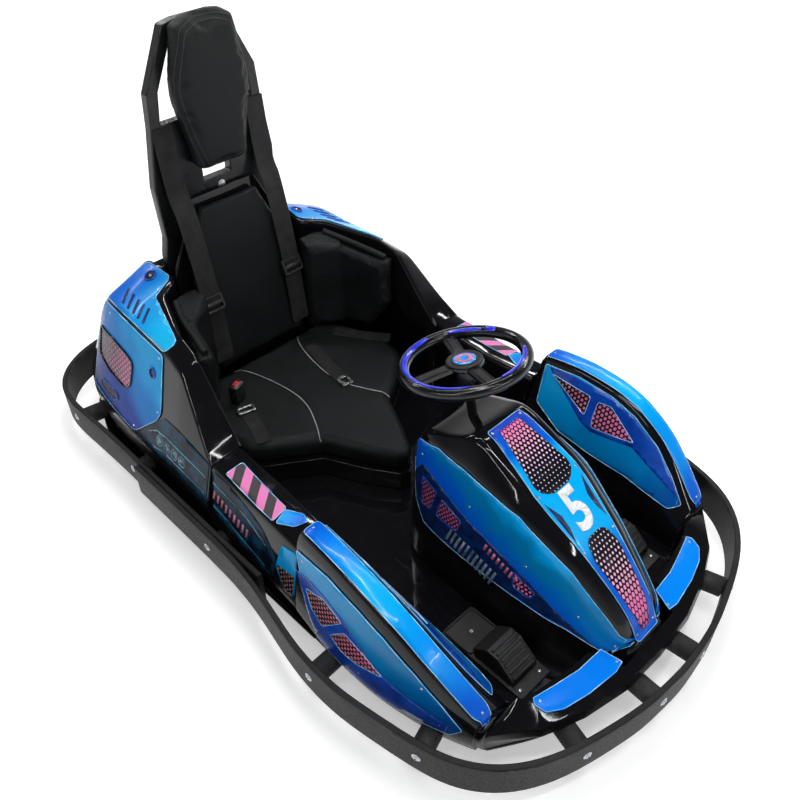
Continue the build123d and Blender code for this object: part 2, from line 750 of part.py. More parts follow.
# Pedals, each a foot plate with a raised pad block
for name, side in (("pedal_left", 1), ("pedal_right", -1)):
    with BuildPart() as pedal:
        for outline, wide in ((PEDAL_BASE, PEDAL_W), (PEDAL_BLOCK, PEDAL_BLOCK_W)):
            with BuildSketch(Plane.XZ.offset(-side * PEDAL_Y)):
                with BuildLine():
                    Polyline(*outline, close=True)
                make_face()
            extrude(amount=wide / 2, both=True)
    pedal.part.label = name
    export_step(pedal.part, "parts/" + name + ".step")

# Chassis frame: side rails, cross members, front kingpin yokes, rear axle carriers
with BuildPart() as chassis_frame:
    for x, y, z, length, width, height in FRAME_BARS:
        with Locations((x, y, z)):
            Box(length, width, height)
    with Locations((FRONT_AXLE_X, KINGPIN_Y - YOKE_BACK, FRONT_TYRE_R)):
        Box(YOKE_WIDE, YOKE_PLATE, YOKE_TALL)
    for level in (FRONT_TYRE_R + YOKE_LUG_MID, FRONT_TYRE_R - YOKE_LUG_MID):
        with Locations((FRONT_AXLE_X, KINGPIN_Y - YOKE_BACK / 2, level)):
            Box(YOKE_WIDE, YOKE_BACK, YOKE_LUG)
        with Locations((FRONT_AXLE_X, KINGPIN_Y, level)):
            Cylinder(YOKE_WIDE / 2, YOKE_LUG)
    with Locations((FRONT_AXLE_X, KINGPIN_Y, FRONT_TYRE_R)):
        Cylinder(KINGPIN_R, YOKE_TALL)
    with Locations((REAR_AXLE_X, CARRIER_Y, CARRIER_Z)):
        Box(CARRIER_LONG, CARRIER_WIDE, CARRIER_TALL)
    with BuildSketch(Plane.XZ.offset(-CARRIER_Y)):
        with Locations((REAR_AXLE_X, REAR_TYRE_R)):
            Circle(REAR_STUB_R)
    extrude(amount=-REAR_STUB_LONG)
    with BuildSketch(Plane.XZ.offset(-REAR_NUT_Y)):
        with Locations((REAR_AXLE_X, REAR_TYRE_R)):
            Circle(NUT_R)
    extrude(amount=-NUT_T)
    mirror(about=Plane.XZ)
chassis_frame.part.label = "chassis_frame"
export_step(chassis_frame.part, "parts/chassis_frame.step")

# Front knuckles: barrel on the kingpin, stub axle, nut and short steering arm
for name, side in (("knuckle_left", 1), ("knuckle_right", -1)):
    with BuildPart() as knuckle:
        with Locations((FRONT_AXLE_X, KINGPIN_Y, FRONT_TYRE_R)):
            Cylinder(BARREL_R, BARREL_TALL)
        with Locations((FRONT_AXLE_X - ARM_LONG / 2, KINGPIN_Y, FRONT_TYRE_R)):
            Box(ARM_LONG, ARM_T, ARM_T)
        with BuildSketch(Plane.XZ.offset(-KINGPIN_Y)):
            with Locations((FRONT_AXLE_X, FRONT_TYRE_R)):
                Circle(STUB_R)
        extrude(amount=-FRONT_STUB_LONG)
        with BuildSketch(Plane.XZ.offset(-FRONT_NUT_Y)):
            with Locations((FRONT_AXLE_X, FRONT_TYRE_R)):
                Circle(NUT_R)
        extrude(amount=-NUT_T)
        with Locations((FRONT_AXLE_X, KINGPIN_Y, FRONT_TYRE_R)):
            Cylinder(KINGPIN_R + BEARING_GAP, YOKE_TALL, mode=Mode.SUBTRACT)
        if side < 0:
            mirror(about=Plane.XZ, mode=Mode.REPLACE)
    knuckle.part.label = name
    export_step(knuckle.part, "parts/" + name + ".step")

# Wheels: rims with a web and hub, and tyres around them
# name, axle x, wheel mid y, tyre radius, tyre width, stub radius, web y
WHEELS = [
    ("front", FRONT_AXLE_X, FRONT_WHEEL_Y, FRONT_TYRE_R, FRONT_TYRE_W, STUB_R, FRONT_WEB_Y),
    ("rear", REAR_AXLE_X, REAR_WHEEL_Y, REAR_TYRE_R, REAR_TYRE_W, REAR_STUB_R, REAR_WEB_Y),
]
for end, axle_x, wheel_y, tyre_r, tyre_w, stub_r, web_y in WHEELS:
    inner_y = wheel_y - tyre_w / 2
    rim_width = tyre_w - 2 * RIM_EDGE
    well_width = rim_width + 2 * CUT_PAST
    # start y, length along the axle, radius, mode
    turned = [
        (inner_y + RIM_EDGE, rim_width, RIM_R, Mode.ADD),
        (inner_y + RIM_EDGE - CUT_PAST, well_width, RIM_R - RIM_WALL, Mode.SUBTRACT),
        (web_y, WEB_T, RIM_R - RIM_WALL + CUT_PAST, Mode.ADD),
        (web_y - HUB_IN, HUB_IN + WEB_T + HUB_OUT, HUB_R, Mode.ADD),
        (inner_y - BORE_PAST, tyre_w + 2 * BORE_PAST, stub_r + BEARING_GAP, Mode.SUBTRACT),
    ]
    tyre_height = tyre_r - RIM_R
    tyre_profile = [(inner_y + dy * tyre_w, tyre_r + RIM_R + dr * tyre_height) for dy, dr in TYRE_FORM]
    for hand, side in (("left", 1), ("right", -1)):
        with BuildPart() as rim:
            for start_y, long, radius, mode in turned:
                with BuildSketch(Plane.XZ.offset(-start_y)):
                    with Locations((axle_x, tyre_r)):
                        Circle(radius)
                extrude(amount=-long, mode=mode)
            if side < 0:
                mirror(about=Plane.XZ, mode=Mode.REPLACE)
        rim.part.label = "rim_" + end + "_" + hand
        export_step(rim.part, "parts/rim_" + end + "_" + hand + ".step")
        with BuildPart() as tyre:
            with BuildSketch(Plane.YZ.offset(axle_x)):
                with BuildLine():
                    Polyline(*tyre_profile, close=True)
                make_face()
            revolve(axis=Axis((axle_x, 0, tyre_r), (0, 1, 0)), revolution_arc=360)
            if side < 0:
                mirror(about=Plane.XZ, mode=Mode.REPLACE)
        tyre.part.label = "tyre_" + end + "_" + hand
        export_step(tyre.part, "parts/tyre_" + end + "_" + hand + ".step")

# Steering wheel: grip ring, three spokes and hub
with BuildPart() as steering_wheel:
    with Locations(column_plane.location):
        Torus(WHEEL_R - GRIP_R, GRIP_R)
    with BuildSketch(column_plane.offset(-SPOKE_T)):
        Circle(WHEEL_HUB_R)
        for angle in SPOKE_ANGLES:
            with Locations(Location((0, 0), angle)):
                with Locations(((WHEEL_R - GRIP_R) / 2, 0)):
                    Rectangle(WHEEL_R - GRIP_R, SPOKE_W)
    extrude(amount=SPOKE_T)
    with BuildSketch(column_plane.offset(-SPOKE_T)):
        Circle(WHEEL_HUB_R)
    extrude(amount=SPOKE_T + HUB_RISE)
steering_wheel.part.label = "steering_wheel"
export_step(steering_wheel.part, "parts/steering_wheel.step")

# Steering column
with BuildPart() as steering_column:
    with BuildSketch(column_plane.offset(-SPOKE_T)):
        Circle(COLUMN_BOSS_R)
    extrude(amount=-COLUMN_BOSS)
    with BuildSketch(column_plane.offset(-SPOKE_T)):
        Circle(COLUMN_R)
    extrude(amount=-COLUMN_LENGTH)
steering_column.part.label = "steering_column"
export_step(steering_column.part, "parts/steering_column.step")

# Steering support inside the console, a foot with a bored head
support_plane = column_plane.offset(-SPOKE_T - COLUMN_LENGTH + SUPPORT_BORE)
foot = support_plane.origin
with BuildPart() as steering_support:
    with BuildSketch(Plane.XY.offset(SEAT_LEVEL)):
        with Locations((foot.X, 0)):
            Rectangle(SUPPORT_LONG, SUPPORT_WIDE)
    extrude(amount=foot.Z - SEAT_LEVEL)
    with BuildSketch(column_plane):
        Circle(COLUMN_R + BEARING_GAP)
    extrude(amount=-COLUMN_LENGTH - SPOKE_T - RUN_GAP, mode=Mode.SUBTRACT)
steering_support.part.label = "steering_support"
export_step(steering_support.part, "parts/steering_support.step")

# Heavy blocks behind the seat, inside the rear deck
for name, (x0, x1, y0, y1, high) in (("battery_block", BATTERY), ("motor_block", MOTOR)):
    with BuildPart() as block:
        with Locations(((x0 + x1) / 2, (y0 + y1) / 2, (SEAT_LEVEL + high) / 2)):
            Box(x1 - x0, y1 - y0, high - SEAT_LEVEL)
    block.part.label = name
    export_step(block.part, "parts/" + name + ".step")
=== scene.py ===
import bpy
import bmesh
from math import cos, pi, radians, sin
from mathutils import Matrix, Vector
from mathutils.bvhtree import BVHTree


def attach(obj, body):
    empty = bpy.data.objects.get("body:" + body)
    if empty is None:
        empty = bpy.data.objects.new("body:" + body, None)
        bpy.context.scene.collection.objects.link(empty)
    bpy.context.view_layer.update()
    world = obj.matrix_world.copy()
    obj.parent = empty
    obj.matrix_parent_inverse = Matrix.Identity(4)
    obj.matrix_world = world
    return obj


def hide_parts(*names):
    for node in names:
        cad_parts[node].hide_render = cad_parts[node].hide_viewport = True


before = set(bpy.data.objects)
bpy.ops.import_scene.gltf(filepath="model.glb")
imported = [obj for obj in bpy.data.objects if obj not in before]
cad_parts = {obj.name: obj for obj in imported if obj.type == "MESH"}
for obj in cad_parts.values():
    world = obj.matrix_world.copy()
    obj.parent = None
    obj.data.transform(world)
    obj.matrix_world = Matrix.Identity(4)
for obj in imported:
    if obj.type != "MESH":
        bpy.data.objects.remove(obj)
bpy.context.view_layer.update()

# Studio: a white floor sheet, narrow lamps overhead and a pale surround, and the camera of the
# photograph, which looks down on the kart's right front corner. Tables are in millimetres.
CAMERA_AT = Vector((1.196, -1.101, 1.76))
CAMERA_TILT = radians(41.79)
FLOOR_HALF = 30


def mm(table):
    # a table's numbers in metres
    return [mm(row) for row in table] if isinstance(table, list) else tuple(n / 1000 for n in table)


def linked(name, data):
    # a new object in the scene
    made = bpy.data.objects.new(name, data)
    bpy.context.scene.collection.objects.link(made)
    return made


def shade(tree, kind, inputs=(), **settings):
    # adds one shader node; an input is a value or another node's output
    made = tree.nodes.new("ShaderNode" + kind)
    for key, value in settings.items():
        setattr(made, key, value)
    for socket, value in inputs:
        if isinstance(value, bpy.types.NodeSocket):
            tree.links.new(value, made.inputs[socket])
        else:
            made.inputs[socket].default_value = value
    return made


def calc(tree, operation, *values):
    # one math node; gives its output
    return shade(tree, "Math", list(enumerate(values)), operation=operation).outputs[0]


def times(tree, first, second):
    return calc(tree, "MULTIPLY", first, second)


def ranged(tree, value, low, high, out_low, out_high):
    # maps a value from one range to another
    inputs = [(0, value), (1, low), (2, high), (3, out_low), (4, out_high)]
    return shade(tree, "MapRange", inputs, clamp=True).outputs[0]


def blended(tree, factor, first, second):
    # mixes two colours, each one a value or another node's output
    first, second = [(*c, 1) if isinstance(c, tuple) else c for c in (first, second)]
    inputs = [(0, factor), (6, first), (7, second)]
    return shade(tree, "Mix", inputs, data_type="RGBA").outputs[2]


def placed(obj, body, look):
    # gives a new piece its material and its body
    obj.data.materials.append(look)
    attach(obj, body)
    return obj


def smoothed(data):
    for face in data.polygons:
        face.use_smooth = True


def piece_from(name, verts, faces):
    # one mesh object from points and faces
    data = bpy.data.meshes.new(name)
    data.from_pydata([tuple(v) for v in verts], [], faces)
    data.validate()
    smoothed(data)
    return linked(name, data)


def resolved(piece):
    # a piece as its modifiers leave it
    return piece.evaluated_get(bpy.context.evaluated_depsgraph_get())


def modified(made, kind, name, **settings):
    # adds a modifier
    added = made.modifiers.new(name, kind)
    for key, value in settings.items():
        setattr(added, key, value)


def outward(made, angle, skywards=False):
    # turns a mesh's faces outwards; edges sharper than an angle in degrees stay crisp
    shaped = bmesh.new()
    shaped.from_mesh(made.data)
    bmesh.ops.recalc_face_normals(shaped, faces=shaped.faces)
    if skywards and sum(face.normal.z * face.calc_area() for face in shaped.faces) < 0:
        bmesh.ops.reverse_faces(shaped, faces=shaped.faces)
    shaped.to_mesh(made.data)
    shaped.free()
    made.data.set_sharp_from_angle(angle=radians(angle))


def banded(rows, count, start=0, closed=True):
    # the faces between rows of points
    made = []
    for i in range(start, start + (rows - 1) * count, count):
        for k in range(count if closed else count - 1):
            n = (k + 1) % count
            made.append((i + k, i + n, i + count + n, i + count + k))
    return made


def capped(verts, count, start=0):
    # the faces that close the first and the last row of points
    return [tuple(range(start, start + count))[::-1], tuple(range(len(verts) - count, len(verts)))]


def fanned(verts, count):
    # the faces between the last row of points and the tip that follows it
    top = len(verts) - 1 - count
    return [(top + k, top + (k + 1) % count, top + count) for k in range(count)]


camera_data = bpy.data.cameras.new("photo_camera")
camera_data.lens = 37.86
camera_data.sensor_width = 36
camera = linked("photo_camera", camera_data)
flat_way = cos(CAMERA_TILT)
back = Vector((0.7084 * flat_way, -0.7058 * flat_way, sin(CAMERA_TILT))).normalized()
right = Vector((0, 0, 1)).cross(back).normalized()
turned = Matrix((right, back.cross(right), back)).transposed()
camera.matrix_world = Matrix.Translation(CAMERA_AT) @ turned.to_4x4()
bpy.context.scene.camera = camera
bpy.context.scene.view_settings.view_transform = "Standard"

floor_look = bpy.data.materials.new("studio_floor")
floor_look.use_nodes = True
tree = floor_look.node_tree
base = tree.nodes["Principled BSDF"]
base.inputs["Base Color"].default_value = (0.82, 0.82, 0.82, 1)
base.inputs["Roughness"].default_value = 0.9
base.inputs["Specular IOR Level"].default_value = 0.1
# the floor glows towards the camera, and more so further out, to stay white
centre = [(0, shade(tree, "TexCoord").outputs["Object"])]
away = shade(tree, "VectorMath", centre, operation="LENGTH").outputs["Value"]
strength = calc(tree, "ADD", 0.44, times(tree, ranged(tree, away, 1.2, 4.5, 0, 1), 0.56))
glow = shade(tree, "Emission", [("Color", (1, 1, 1, 1)), ("Strength", strength)])
path = shade(tree, "LightPath").outputs
seen = calc(tree, "MAXIMUM", path["Is Camera Ray"], path["Is Glossy Ray"])
seen = calc(tree, "MAXIMUM", seen, path["Is Transmission Ray"])
both = shade(tree, "AddShader", [(0, base.outputs[0]), (1, glow.outputs[0])])
lift = shade(tree, "MixShader", [(0, seen), (1, base.outputs[0]), (2, both.outputs[0])])
tree.links.new(lift.outputs[0], tree.nodes["Material Output"].inputs["Surface"])
corners = [(x * FLOOR_HALF, y * FLOOR_HALF, 0) for x, y in ((-1, -1), (1, -1), (1, 1), (-1, 1))]
floor_sheet = piece_from("studio_floor", corners, [(0, 1, 2, 3)])
floor_sheet.data.materials.append(floor_look)

world = bpy.data.worlds.new("studio_surround")
bpy.context.scene.world = world
world.use_nodes = True
tree = world.node_tree
height = shade(tree, "SeparateXYZ", [(0, shade(tree, "TexCoord").outputs["Generated"])])
rise = ranged(tree, height.outputs["Z"], 0.1, 0.45, 0, 1)
sky = blended(tree, rise, (0.62, 0.62, 0.63), (0.085, 0.088, 0.095))
tree.links.new(sky, tree.nodes["Background"].inputs["Color"])

# name, place, width, length, watts: narrow strips, as the tubes of a showroom ceiling
for name, place, width, length, watts in (
    ("strip_over_left", (-0.9, 0.9, 3.0), 0.06, 2.6, 24),
    ("strip_over_mid", (0.1, 0.2, 3.2), 0.08, 2.8, 30),
    ("strip_over_right", (1.1, -0.6, 3.0), 0.06, 2.6, 22),
    ("strip_left", (-0.3, 2.6, 2.3), 0.07, 2.4, 26),
    ("strip_right", (0.2, -2.6, 2.5), 0.07, 2.4, 22),
    ("strip_front", (2.8, 0.6, 2.0), 0.06, 2.0, 18),
    ("strip_rear", (-2.8, 0.3, 2.4), 0.07, 2.2, 22),
):
    lamp_data = bpy.data.lights.new(name, "AREA")
    lamp_data.shape = "RECTANGLE"
    lamp_data.size = length
    lamp_data.size_y = width
    lamp_data.energy = watts
    lamp = linked(name, lamp_data)
    lamp.location = place
    lamp.rotation_euler = (Vector(place) - Vector((0, 0, 0.3))).to_track_quat("Z", "Y").to_euler()

# Chassis: a welded steel tube frame with kingpin yokes and axle carriers, powder coated black,
# under a pressed floor tray in gloss black; cast rims and slick kart tyres turn under the body.


def finish(name, color, roughness, metallic=0.0, coat=0.0, gleam=0.5):
    # a plain starting finish; gives the material, its node tree and its main shader
    made = bpy.data.materials.new(name)
    made.use_nodes = True
    shader = made.node_tree.nodes["Principled BSDF"]
    shader.inputs["Base Color"].default_value = (*color, 1)
    shader.inputs["Roughness"].default_value = roughness
    shader.inputs["Metallic"].default_value = metallic
    shader.inputs["Specular IOR Level"].default_value = gleam
    shader.inputs["Coat Weight"].default_value = coat
    shader.inputs["Coat Roughness"].default_value = 0.04
    return made, made.node_tree, shader


def spots(tree, scale, detail):
    # even noise over the object in its own metres
    where = shade(tree, "TexCoord").outputs["Object"]
    inputs = [("Vector", where), ("Scale", scale), ("Detail", detail), ("Roughness", 0.55)]
    return shade(tree, "TexNoise", inputs).outputs[0]


def raised(tree, shader, heights, depth, strength):
    # bump from a row of height values
    total = heights[0]
    for other in heights[1:]:
        total = calc(tree, "ADD", total, other)
    bump = shade(tree, "Bump", [("Height", total), ("Distance", depth), ("Strength", strength)])
    tree.links.new(bump.outputs[0], shader.inputs["Normal"])


def material(name, rough=0.5, color=(0, 0, 0), ink=None, wear=None, relief=None, wear_top=0.7,
             **settings):
    # a finish with noise in it. ink: scale, detail, low, high and two colours; wear: scale, detail
    # and the roughness at both ends; relief: depth, strength, then scale, detail and share of each
    made, tree, shader = finish(name, color, rough, **settings)
    if ink:
        scale, detail, low, high, first, second = ink
        share = ranged(tree, spots(tree, scale, detail), low, high, 0, 1)
        tree.links.new(blended(tree, share, first, second), shader.inputs["Base Color"])
    if wear:
        scale, detail, low, high = wear
        worn = ranged(tree, spots(tree, scale, detail), 0.3, wear_top, low, high)
        tree.links.new(worn, shader.inputs["Roughness"])
    if relief:
        depth, strength, *noises = relief
        heights = [times(tree, spots(tree, scale, detail), share)
                   for scale, detail, share in noises]
        raised(tree, shader, heights, depth, strength)
    return made


WELD = 0.00002


def dressed(node, look, edge, parts=2, angle=30):
    # a CAD part that stays: its material, and eased edges
    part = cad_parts[node]
    for holder in part.material_slots:
        holder.material = look
    modified(part, "WELD", "weld", merge_threshold=WELD)
    modified(part, "BEVEL", "ease", width=edge, segments=parts, limit_method="ANGLE",
             angle_limit=radians(angle), harden_normals=True)


# moulded gloss black plastic: faint orange peel, a few hairline scratches and dust in the gloss;
# its low upright faces are scuffed by road dust
shell_black, tree, shader = finish("shell_black", (0, 0, 0), 0.08, coat=0.12, gleam=0.27)
wide = spots(tree, 14, 4)
where = shade(tree, "TexCoord").outputs["Object"]
stretch = [("Vector", where), ("Scale", (3, 40, 40)), ("Rotation", (0.3, 0.2, 0.5))]
stretched = shade(tree, "Mapping", stretch).outputs[0]
hair = shade(tree, "TexNoise", [("Vector", stretched), ("Scale", 6.0), ("Detail", 8.0)]).outputs[0]
scratch = times(tree, ranged(tree, hair, 0.66, 0.7, 0, 1), 0.15)
facing = shade(tree, "SeparateXYZ", [(0, shade(tree, "NewGeometry").outputs["Normal"])]).outputs[2]
height = shade(tree, "SeparateXYZ", [(0, where)]).outputs[2]
scuffed = times(tree, ranged(tree, facing, 0.1, 0.6, 0.5, 0),
                ranged(tree, height, 0.06, 0.24, 1, 0))
rough = calc(tree, "ADD", ranged(tree, wide, 0.35, 0.7, 0.03, 0.1), scratch)
tree.links.new(calc(tree, "ADD", rough, scuffed), shader.inputs["Roughness"])
dust = blended(tree, ranged(tree, wide, 0.55, 0.8, 0, 0.5), (0.004, 0.004, 0.005),
               (0.012, 0.012, 0.013))
tree.links.new(dust, shader.inputs["Base Color"])
raised(tree, shader, [times(tree, wide, 0.6), times(tree, spots(tree, 900, 2), 0.02)], 0.0012, 0.6)

powder_black = material("powder_black", color=(0.005, 0.0055, 0.006), wear=(22, 5, 0.22, 0.45),
                        relief=(0.0006, 0.5, (700, 3, 0.3), (22, 5, 1)), wear_top=0.75, coat=0.1,
                        gleam=0.35)
dressed("floor_tray", shell_black, 0.003)
for node in ("chassis_frame", "knuckle_left", "knuckle_right", "steering_support"):
    dressed(node, powder_black, 0.0015)

cast_rim = material("cast_rim", ink=(30, 4, 0.4, 0.7, (0.56, 0.57, 0.59), (0.4, 0.41, 0.42)),
                    wear=(30, 4, 0.26, 0.45), relief=(0.0004, 0.7, (420, 3, 1)), metallic=1.0)
slick_rubber = material("slick_rubber", wear=(500, 4, 0.6, 0.9),
                        ink=(26, 5, 0.45, 0.75, (0.016, 0.016, 0.017), (0.06, 0.058, 0.055)),
                        relief=(0.0008, 0.8, (500, 4, 1), (26, 5, 2)))
for end in ("front", "rear"):
    for hand in ("left", "right"):
        dressed("rim_" + end + "_" + hand, cast_rim, 0.001)
        dressed("tyre_" + end + "_" + hand, slick_rubber, 0.002, angle=20)
plain_grey = material("block_plastic", color=(0.09, 0.09, 0.1), wear=(60, 4, 0.4, 0.65),
                      relief=(0.0005, 1.0, (300, 3, 1)))
for node in ("battery_block", "motor_block"):
    dressed(node, plain_grey, 0.003)

# Console: a tapering hood between the footwells, moulded in gloss black plastic with soft rounded
# edges, screwed to the floor tray. A printed blue sheet lies on its crest and one on each side.
# the covers' feet stand on the tray; their outer walls lean in by TUCK below LOW_Z
FOOT = 0.0783
LOW_Z = 0.118
TUCK = 0.015
WALL = 0.005
# the steps of a rounded corner, and the most of each side that it takes up
CORNER_STEPS = (0, 0.25, 0.5, 0.75, 1)
CORNER_SHARE = 0.45
# a rivet head's rings: share of its radius and rise
STUD_RINGS = ((1, -0.3), (1, 0.35), (0.82, 0.75), (0.45, 1.0))
STUD_SIDES = 12
# how high prints and rivets lie over a cover that carries a plate
ON_PLATE = 0.0040
RIVET_LIFT = 0.0034


def cornered(before, corner, after, soft):
    # a rounded corner's five points; soft is how far each side is cut back
    before, corner, after = Vector(before), Vector(corner), Vector(after)
    start, end = [corner + side.normalized() * min(soft, CORNER_SHARE * side.length)
                  for side in (before - corner, after - corner)]
    return [start * (1 - t) ** 2 + corner * 2 * t * (1 - t) + end * t * t for t in CORNER_STEPS]


def eased_row(points, softness):
    # rounds each inner corner of an open row of points
    made = [Vector(points[0])]
    for i in range(1, len(points) - 1):
        made += cornered(*points[i - 1:i + 2], softness[i])
    return made + [Vector(points[-1])]


def rounded_outline(points, radius):
    # rounds the corners of a closed outline
    made = []
    for i, corner in enumerate(points):
        made += cornered(points[i - 1], corner, points[(i + 1) % len(points)], radius)
    return [tuple(at) for at in made]


def drawn_in(row, distance):
    # moves a row's points inwards, to the right of its direction; its feet stay at their height
    made = []
    for i, point in enumerate(row):
        run = row[min(i + 1, len(row) - 1)] - row[max(i - 1, 0)]
        made.append(point + Vector((run.y, -run.x)).normalized() * distance)
    made[0].y = row[0].y
    made[-1].y = row[-1].y
    return made


def moulded(name, node, rows, softness, station=0.02, end=0.012, flip=False):
    # a moulded shell: rounded rows along X, eased at each station, its two ends rounded and closed
    rounded = [(x, eased_row(points, softness)) for x, points in rows]
    along = [rounded[0]]
    for i in range(1, len(rounded) - 1):
        (x0, r0), (x1, r1), (x2, r2) = rounded[i - 1:i + 2]
        back_share = min(CORNER_SHARE, station / abs(x1 - x0))
        fore_share = min(CORNER_SHARE, station / abs(x2 - x1))
        xa, xb = x1 + (x0 - x1) * back_share, x1 + (x2 - x1) * fore_share
        for t in CORNER_STEPS:
            wa, w1, wb = (1 - t) ** 2, 2 * t * (1 - t), t * t
            row = [b.lerp(a, back_share) * wa + b * w1 + b.lerp(c, fore_share) * wb
                   for a, b, c in zip(r0, r1, r2)]
            along.append((xa * wa + x1 * w1 + xb * wb, row))
    along.append(rounded[-1])
    tips = []
    for (x, row), (inner_x, _) in ((along[0], along[1]), (along[-1], along[-2])):
        reach = end if inner_x > x else -end
        tips.append([(x + reach * (1 - sin(turn)), drawn_in(row, end * (1 - cos(turn))))
                     for turn in (radians(22.5 * k) for k in range(5))])
    along = tips[0][::-1] + along[1:-1] + tips[1]
    side = -1 if flip else 1
    verts = [(x, side * p.x, p.y) for x, row in along for p in row]
    wide = len(along[0][1])
    ends = [tuple(range(wide)), tuple(range(len(verts) - wide, len(verts)))]
    made = piece_from(name, verts, banded(len(along), wide, closed=False) + ends)
    outward(made, 38, skywards=True)
    modified(made, "SOLIDIFY", "wall", thickness=WALL, offset=-1)
    placed(made, "chassis", shell_black)
    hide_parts(node)
    return made


def faces_of(meshes):
    # one surface, to lay sheets, prints and screws on
    verts, faces = [], []
    for mesh in meshes:
        mesh.calc_loop_triangles()
        start = len(verts)
        verts += [v.co.copy() for v in mesh.vertices]
        faces += [[start + i for i in t.vertices] for t in mesh.loop_triangles]
    return BVHTree.FromPolygons(verts, faces)


def surface_of(*pieces):
    # the outer faces of finished pieces
    bpy.context.view_layer.update()
    return faces_of(resolved(piece).to_mesh() for piece in pieces)


def face_of(*nodes):
    # the faces of CAD parts
    return faces_of(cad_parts[node].data for node in nodes)


# views: looking down, from the right, from the left, and from the footwells to the pods
DOWN = ("Z", 2.0, -1)
FROM_RIGHT = ("Y", -2.0, 1)
FROM_LEFT = ("Y", 2.0, -1)
TO_LEFT = ("Y", 0.26, 1)
TO_RIGHT = ("Y", -0.26, -1)


def touch(surface, a, b, view, lift):
    # the point of a surface met at (a, b) in a view, or the nearest one, and the way it faces
    axis, start, way = view
    origin = Vector((a, b, start)) if axis == "Z" else Vector((a, start, b))
    ray = Vector((0, 0, way)) if axis == "Z" else Vector((0, way, 0))
    hit, normal, _, _ = surface.ray_cast(origin, ray)
    if hit is None:
        hit = surface.find_nearest(origin + ray * (abs(start) - 0.3))[0]
        beside = Vector((a, b, hit.z)) if axis == "Z" else Vector((a, hit.y, b))
        hit, normal, _, _ = surface.find_nearest(beside)
    if normal.dot(ray) > 0:
        normal = -normal
    return hit + normal * lift, normal


def laid(name, shapes, surface, view, look, lift=ON_PLATE, thick=0.0004,
         step=0.02):
    # thin sheets laid on a surface; shapes are closed outlines in the view's two coordinates
    flat = bmesh.new()
    for outline in shapes:
        flat.faces.new([flat.verts.new((a, b, 0)) for a, b in outline])
    bmesh.ops.triangulate(flat, faces=flat.faces)
    for axis in (0, 1):
        lows = [v.co[axis] for v in flat.verts]
        place = (min(lows) // step + 1.03) * step
        while place < max(lows):
            at, way = Vector((0, 0, 0)), Vector((0, 0, 0))
            at[axis], way[axis] = place, 1
            bmesh.ops.bisect_plane(flat, geom=flat.verts[:] + flat.edges[:] + flat.faces[:],
                                   plane_co=at, plane_no=way)
            place += step
    normals = []
    for vert in flat.verts:
        vert.co, normal = touch(surface, vert.co.x, vert.co.y, view, lift)
        normals.append(normal)
    flat.normal_update()
    flat.verts.index_update()
    if sum(face.normal.dot(normals[face.verts[0].index]) for face in flat.faces) < 0:
        bmesh.ops.reverse_faces(flat, faces=flat.faces)
    data = bpy.data.meshes.new(name)
    flat.to_mesh(data)
    flat.free()
    smoothed(data)
    made = linked(name, data)
    modified(made, "SOLIDIFY", "layer", thickness=thick, offset=1)
    return placed(made, "chassis", look)


def beads(name, lines, radius, look, sides=3, cyclic=False):
    # round beads, cords or threads through rows of points
    data = bpy.data.curves.new(name, "CURVE")
    data.dimensions = "3D"
    data.bevel_depth = radius
    data.bevel_resolution = sides
    data.use_fill_caps = not cyclic
    for line in lines:
        spline = data.splines.new("POLY")
        spline.points.add(len(line) - 1)
        for point, at in zip(spline.points, line):
            point.co = (*at, 1)
        spline.use_cyclic_u = cyclic
        spline.use_smooth = True
    placed(linked(name, data), "chassis", look)


def edged(name, shapes, surface, view, look, lift=ON_PLATE, radius=0.0009,
          step=0.015):
    # fine lines along closed outlines laid on a surface
    lines = []
    for outline in shapes:
        line = []
        for i, start in enumerate(outline):
            start, end = Vector(start), Vector(outline[(i + 1) % len(outline)])
            count = max(1, int((end - start).length / step))
            line += [touch(surface, *start.lerp(end, k / count), view, lift)[0]
                     for k in range(count)]
        lines.append(line)
    beads(name, lines, radius, look, sides=1, cyclic=True)


def studs(name, places, surface, view, radius=0.003, high=0.0012, lift=RIVET_LIFT):
    # small domed steel heads, each pressed flat on a surface
    verts, faces = [], []
    for a, b in places:
        at, normal = touch(surface, a, b, view, lift)
        first = normal.orthogonal().normalized()
        second = normal.cross(first)
        start = len(verts)
        for share, rise in STUD_RINGS:
            for turn in (2 * pi * k / STUD_SIDES for k in range(STUD_SIDES)):
                out = first * cos(turn) + second * sin(turn)
                verts.append(at + out * radius * share + normal * high * rise)
        verts.append(at + normal * high * 0.8)
        faces += banded(len(STUD_RINGS), STUD_SIDES, start) + fanned(verts, STUD_SIDES)
    placed(piece_from(name, verts, faces), "chassis", rivet_steel)


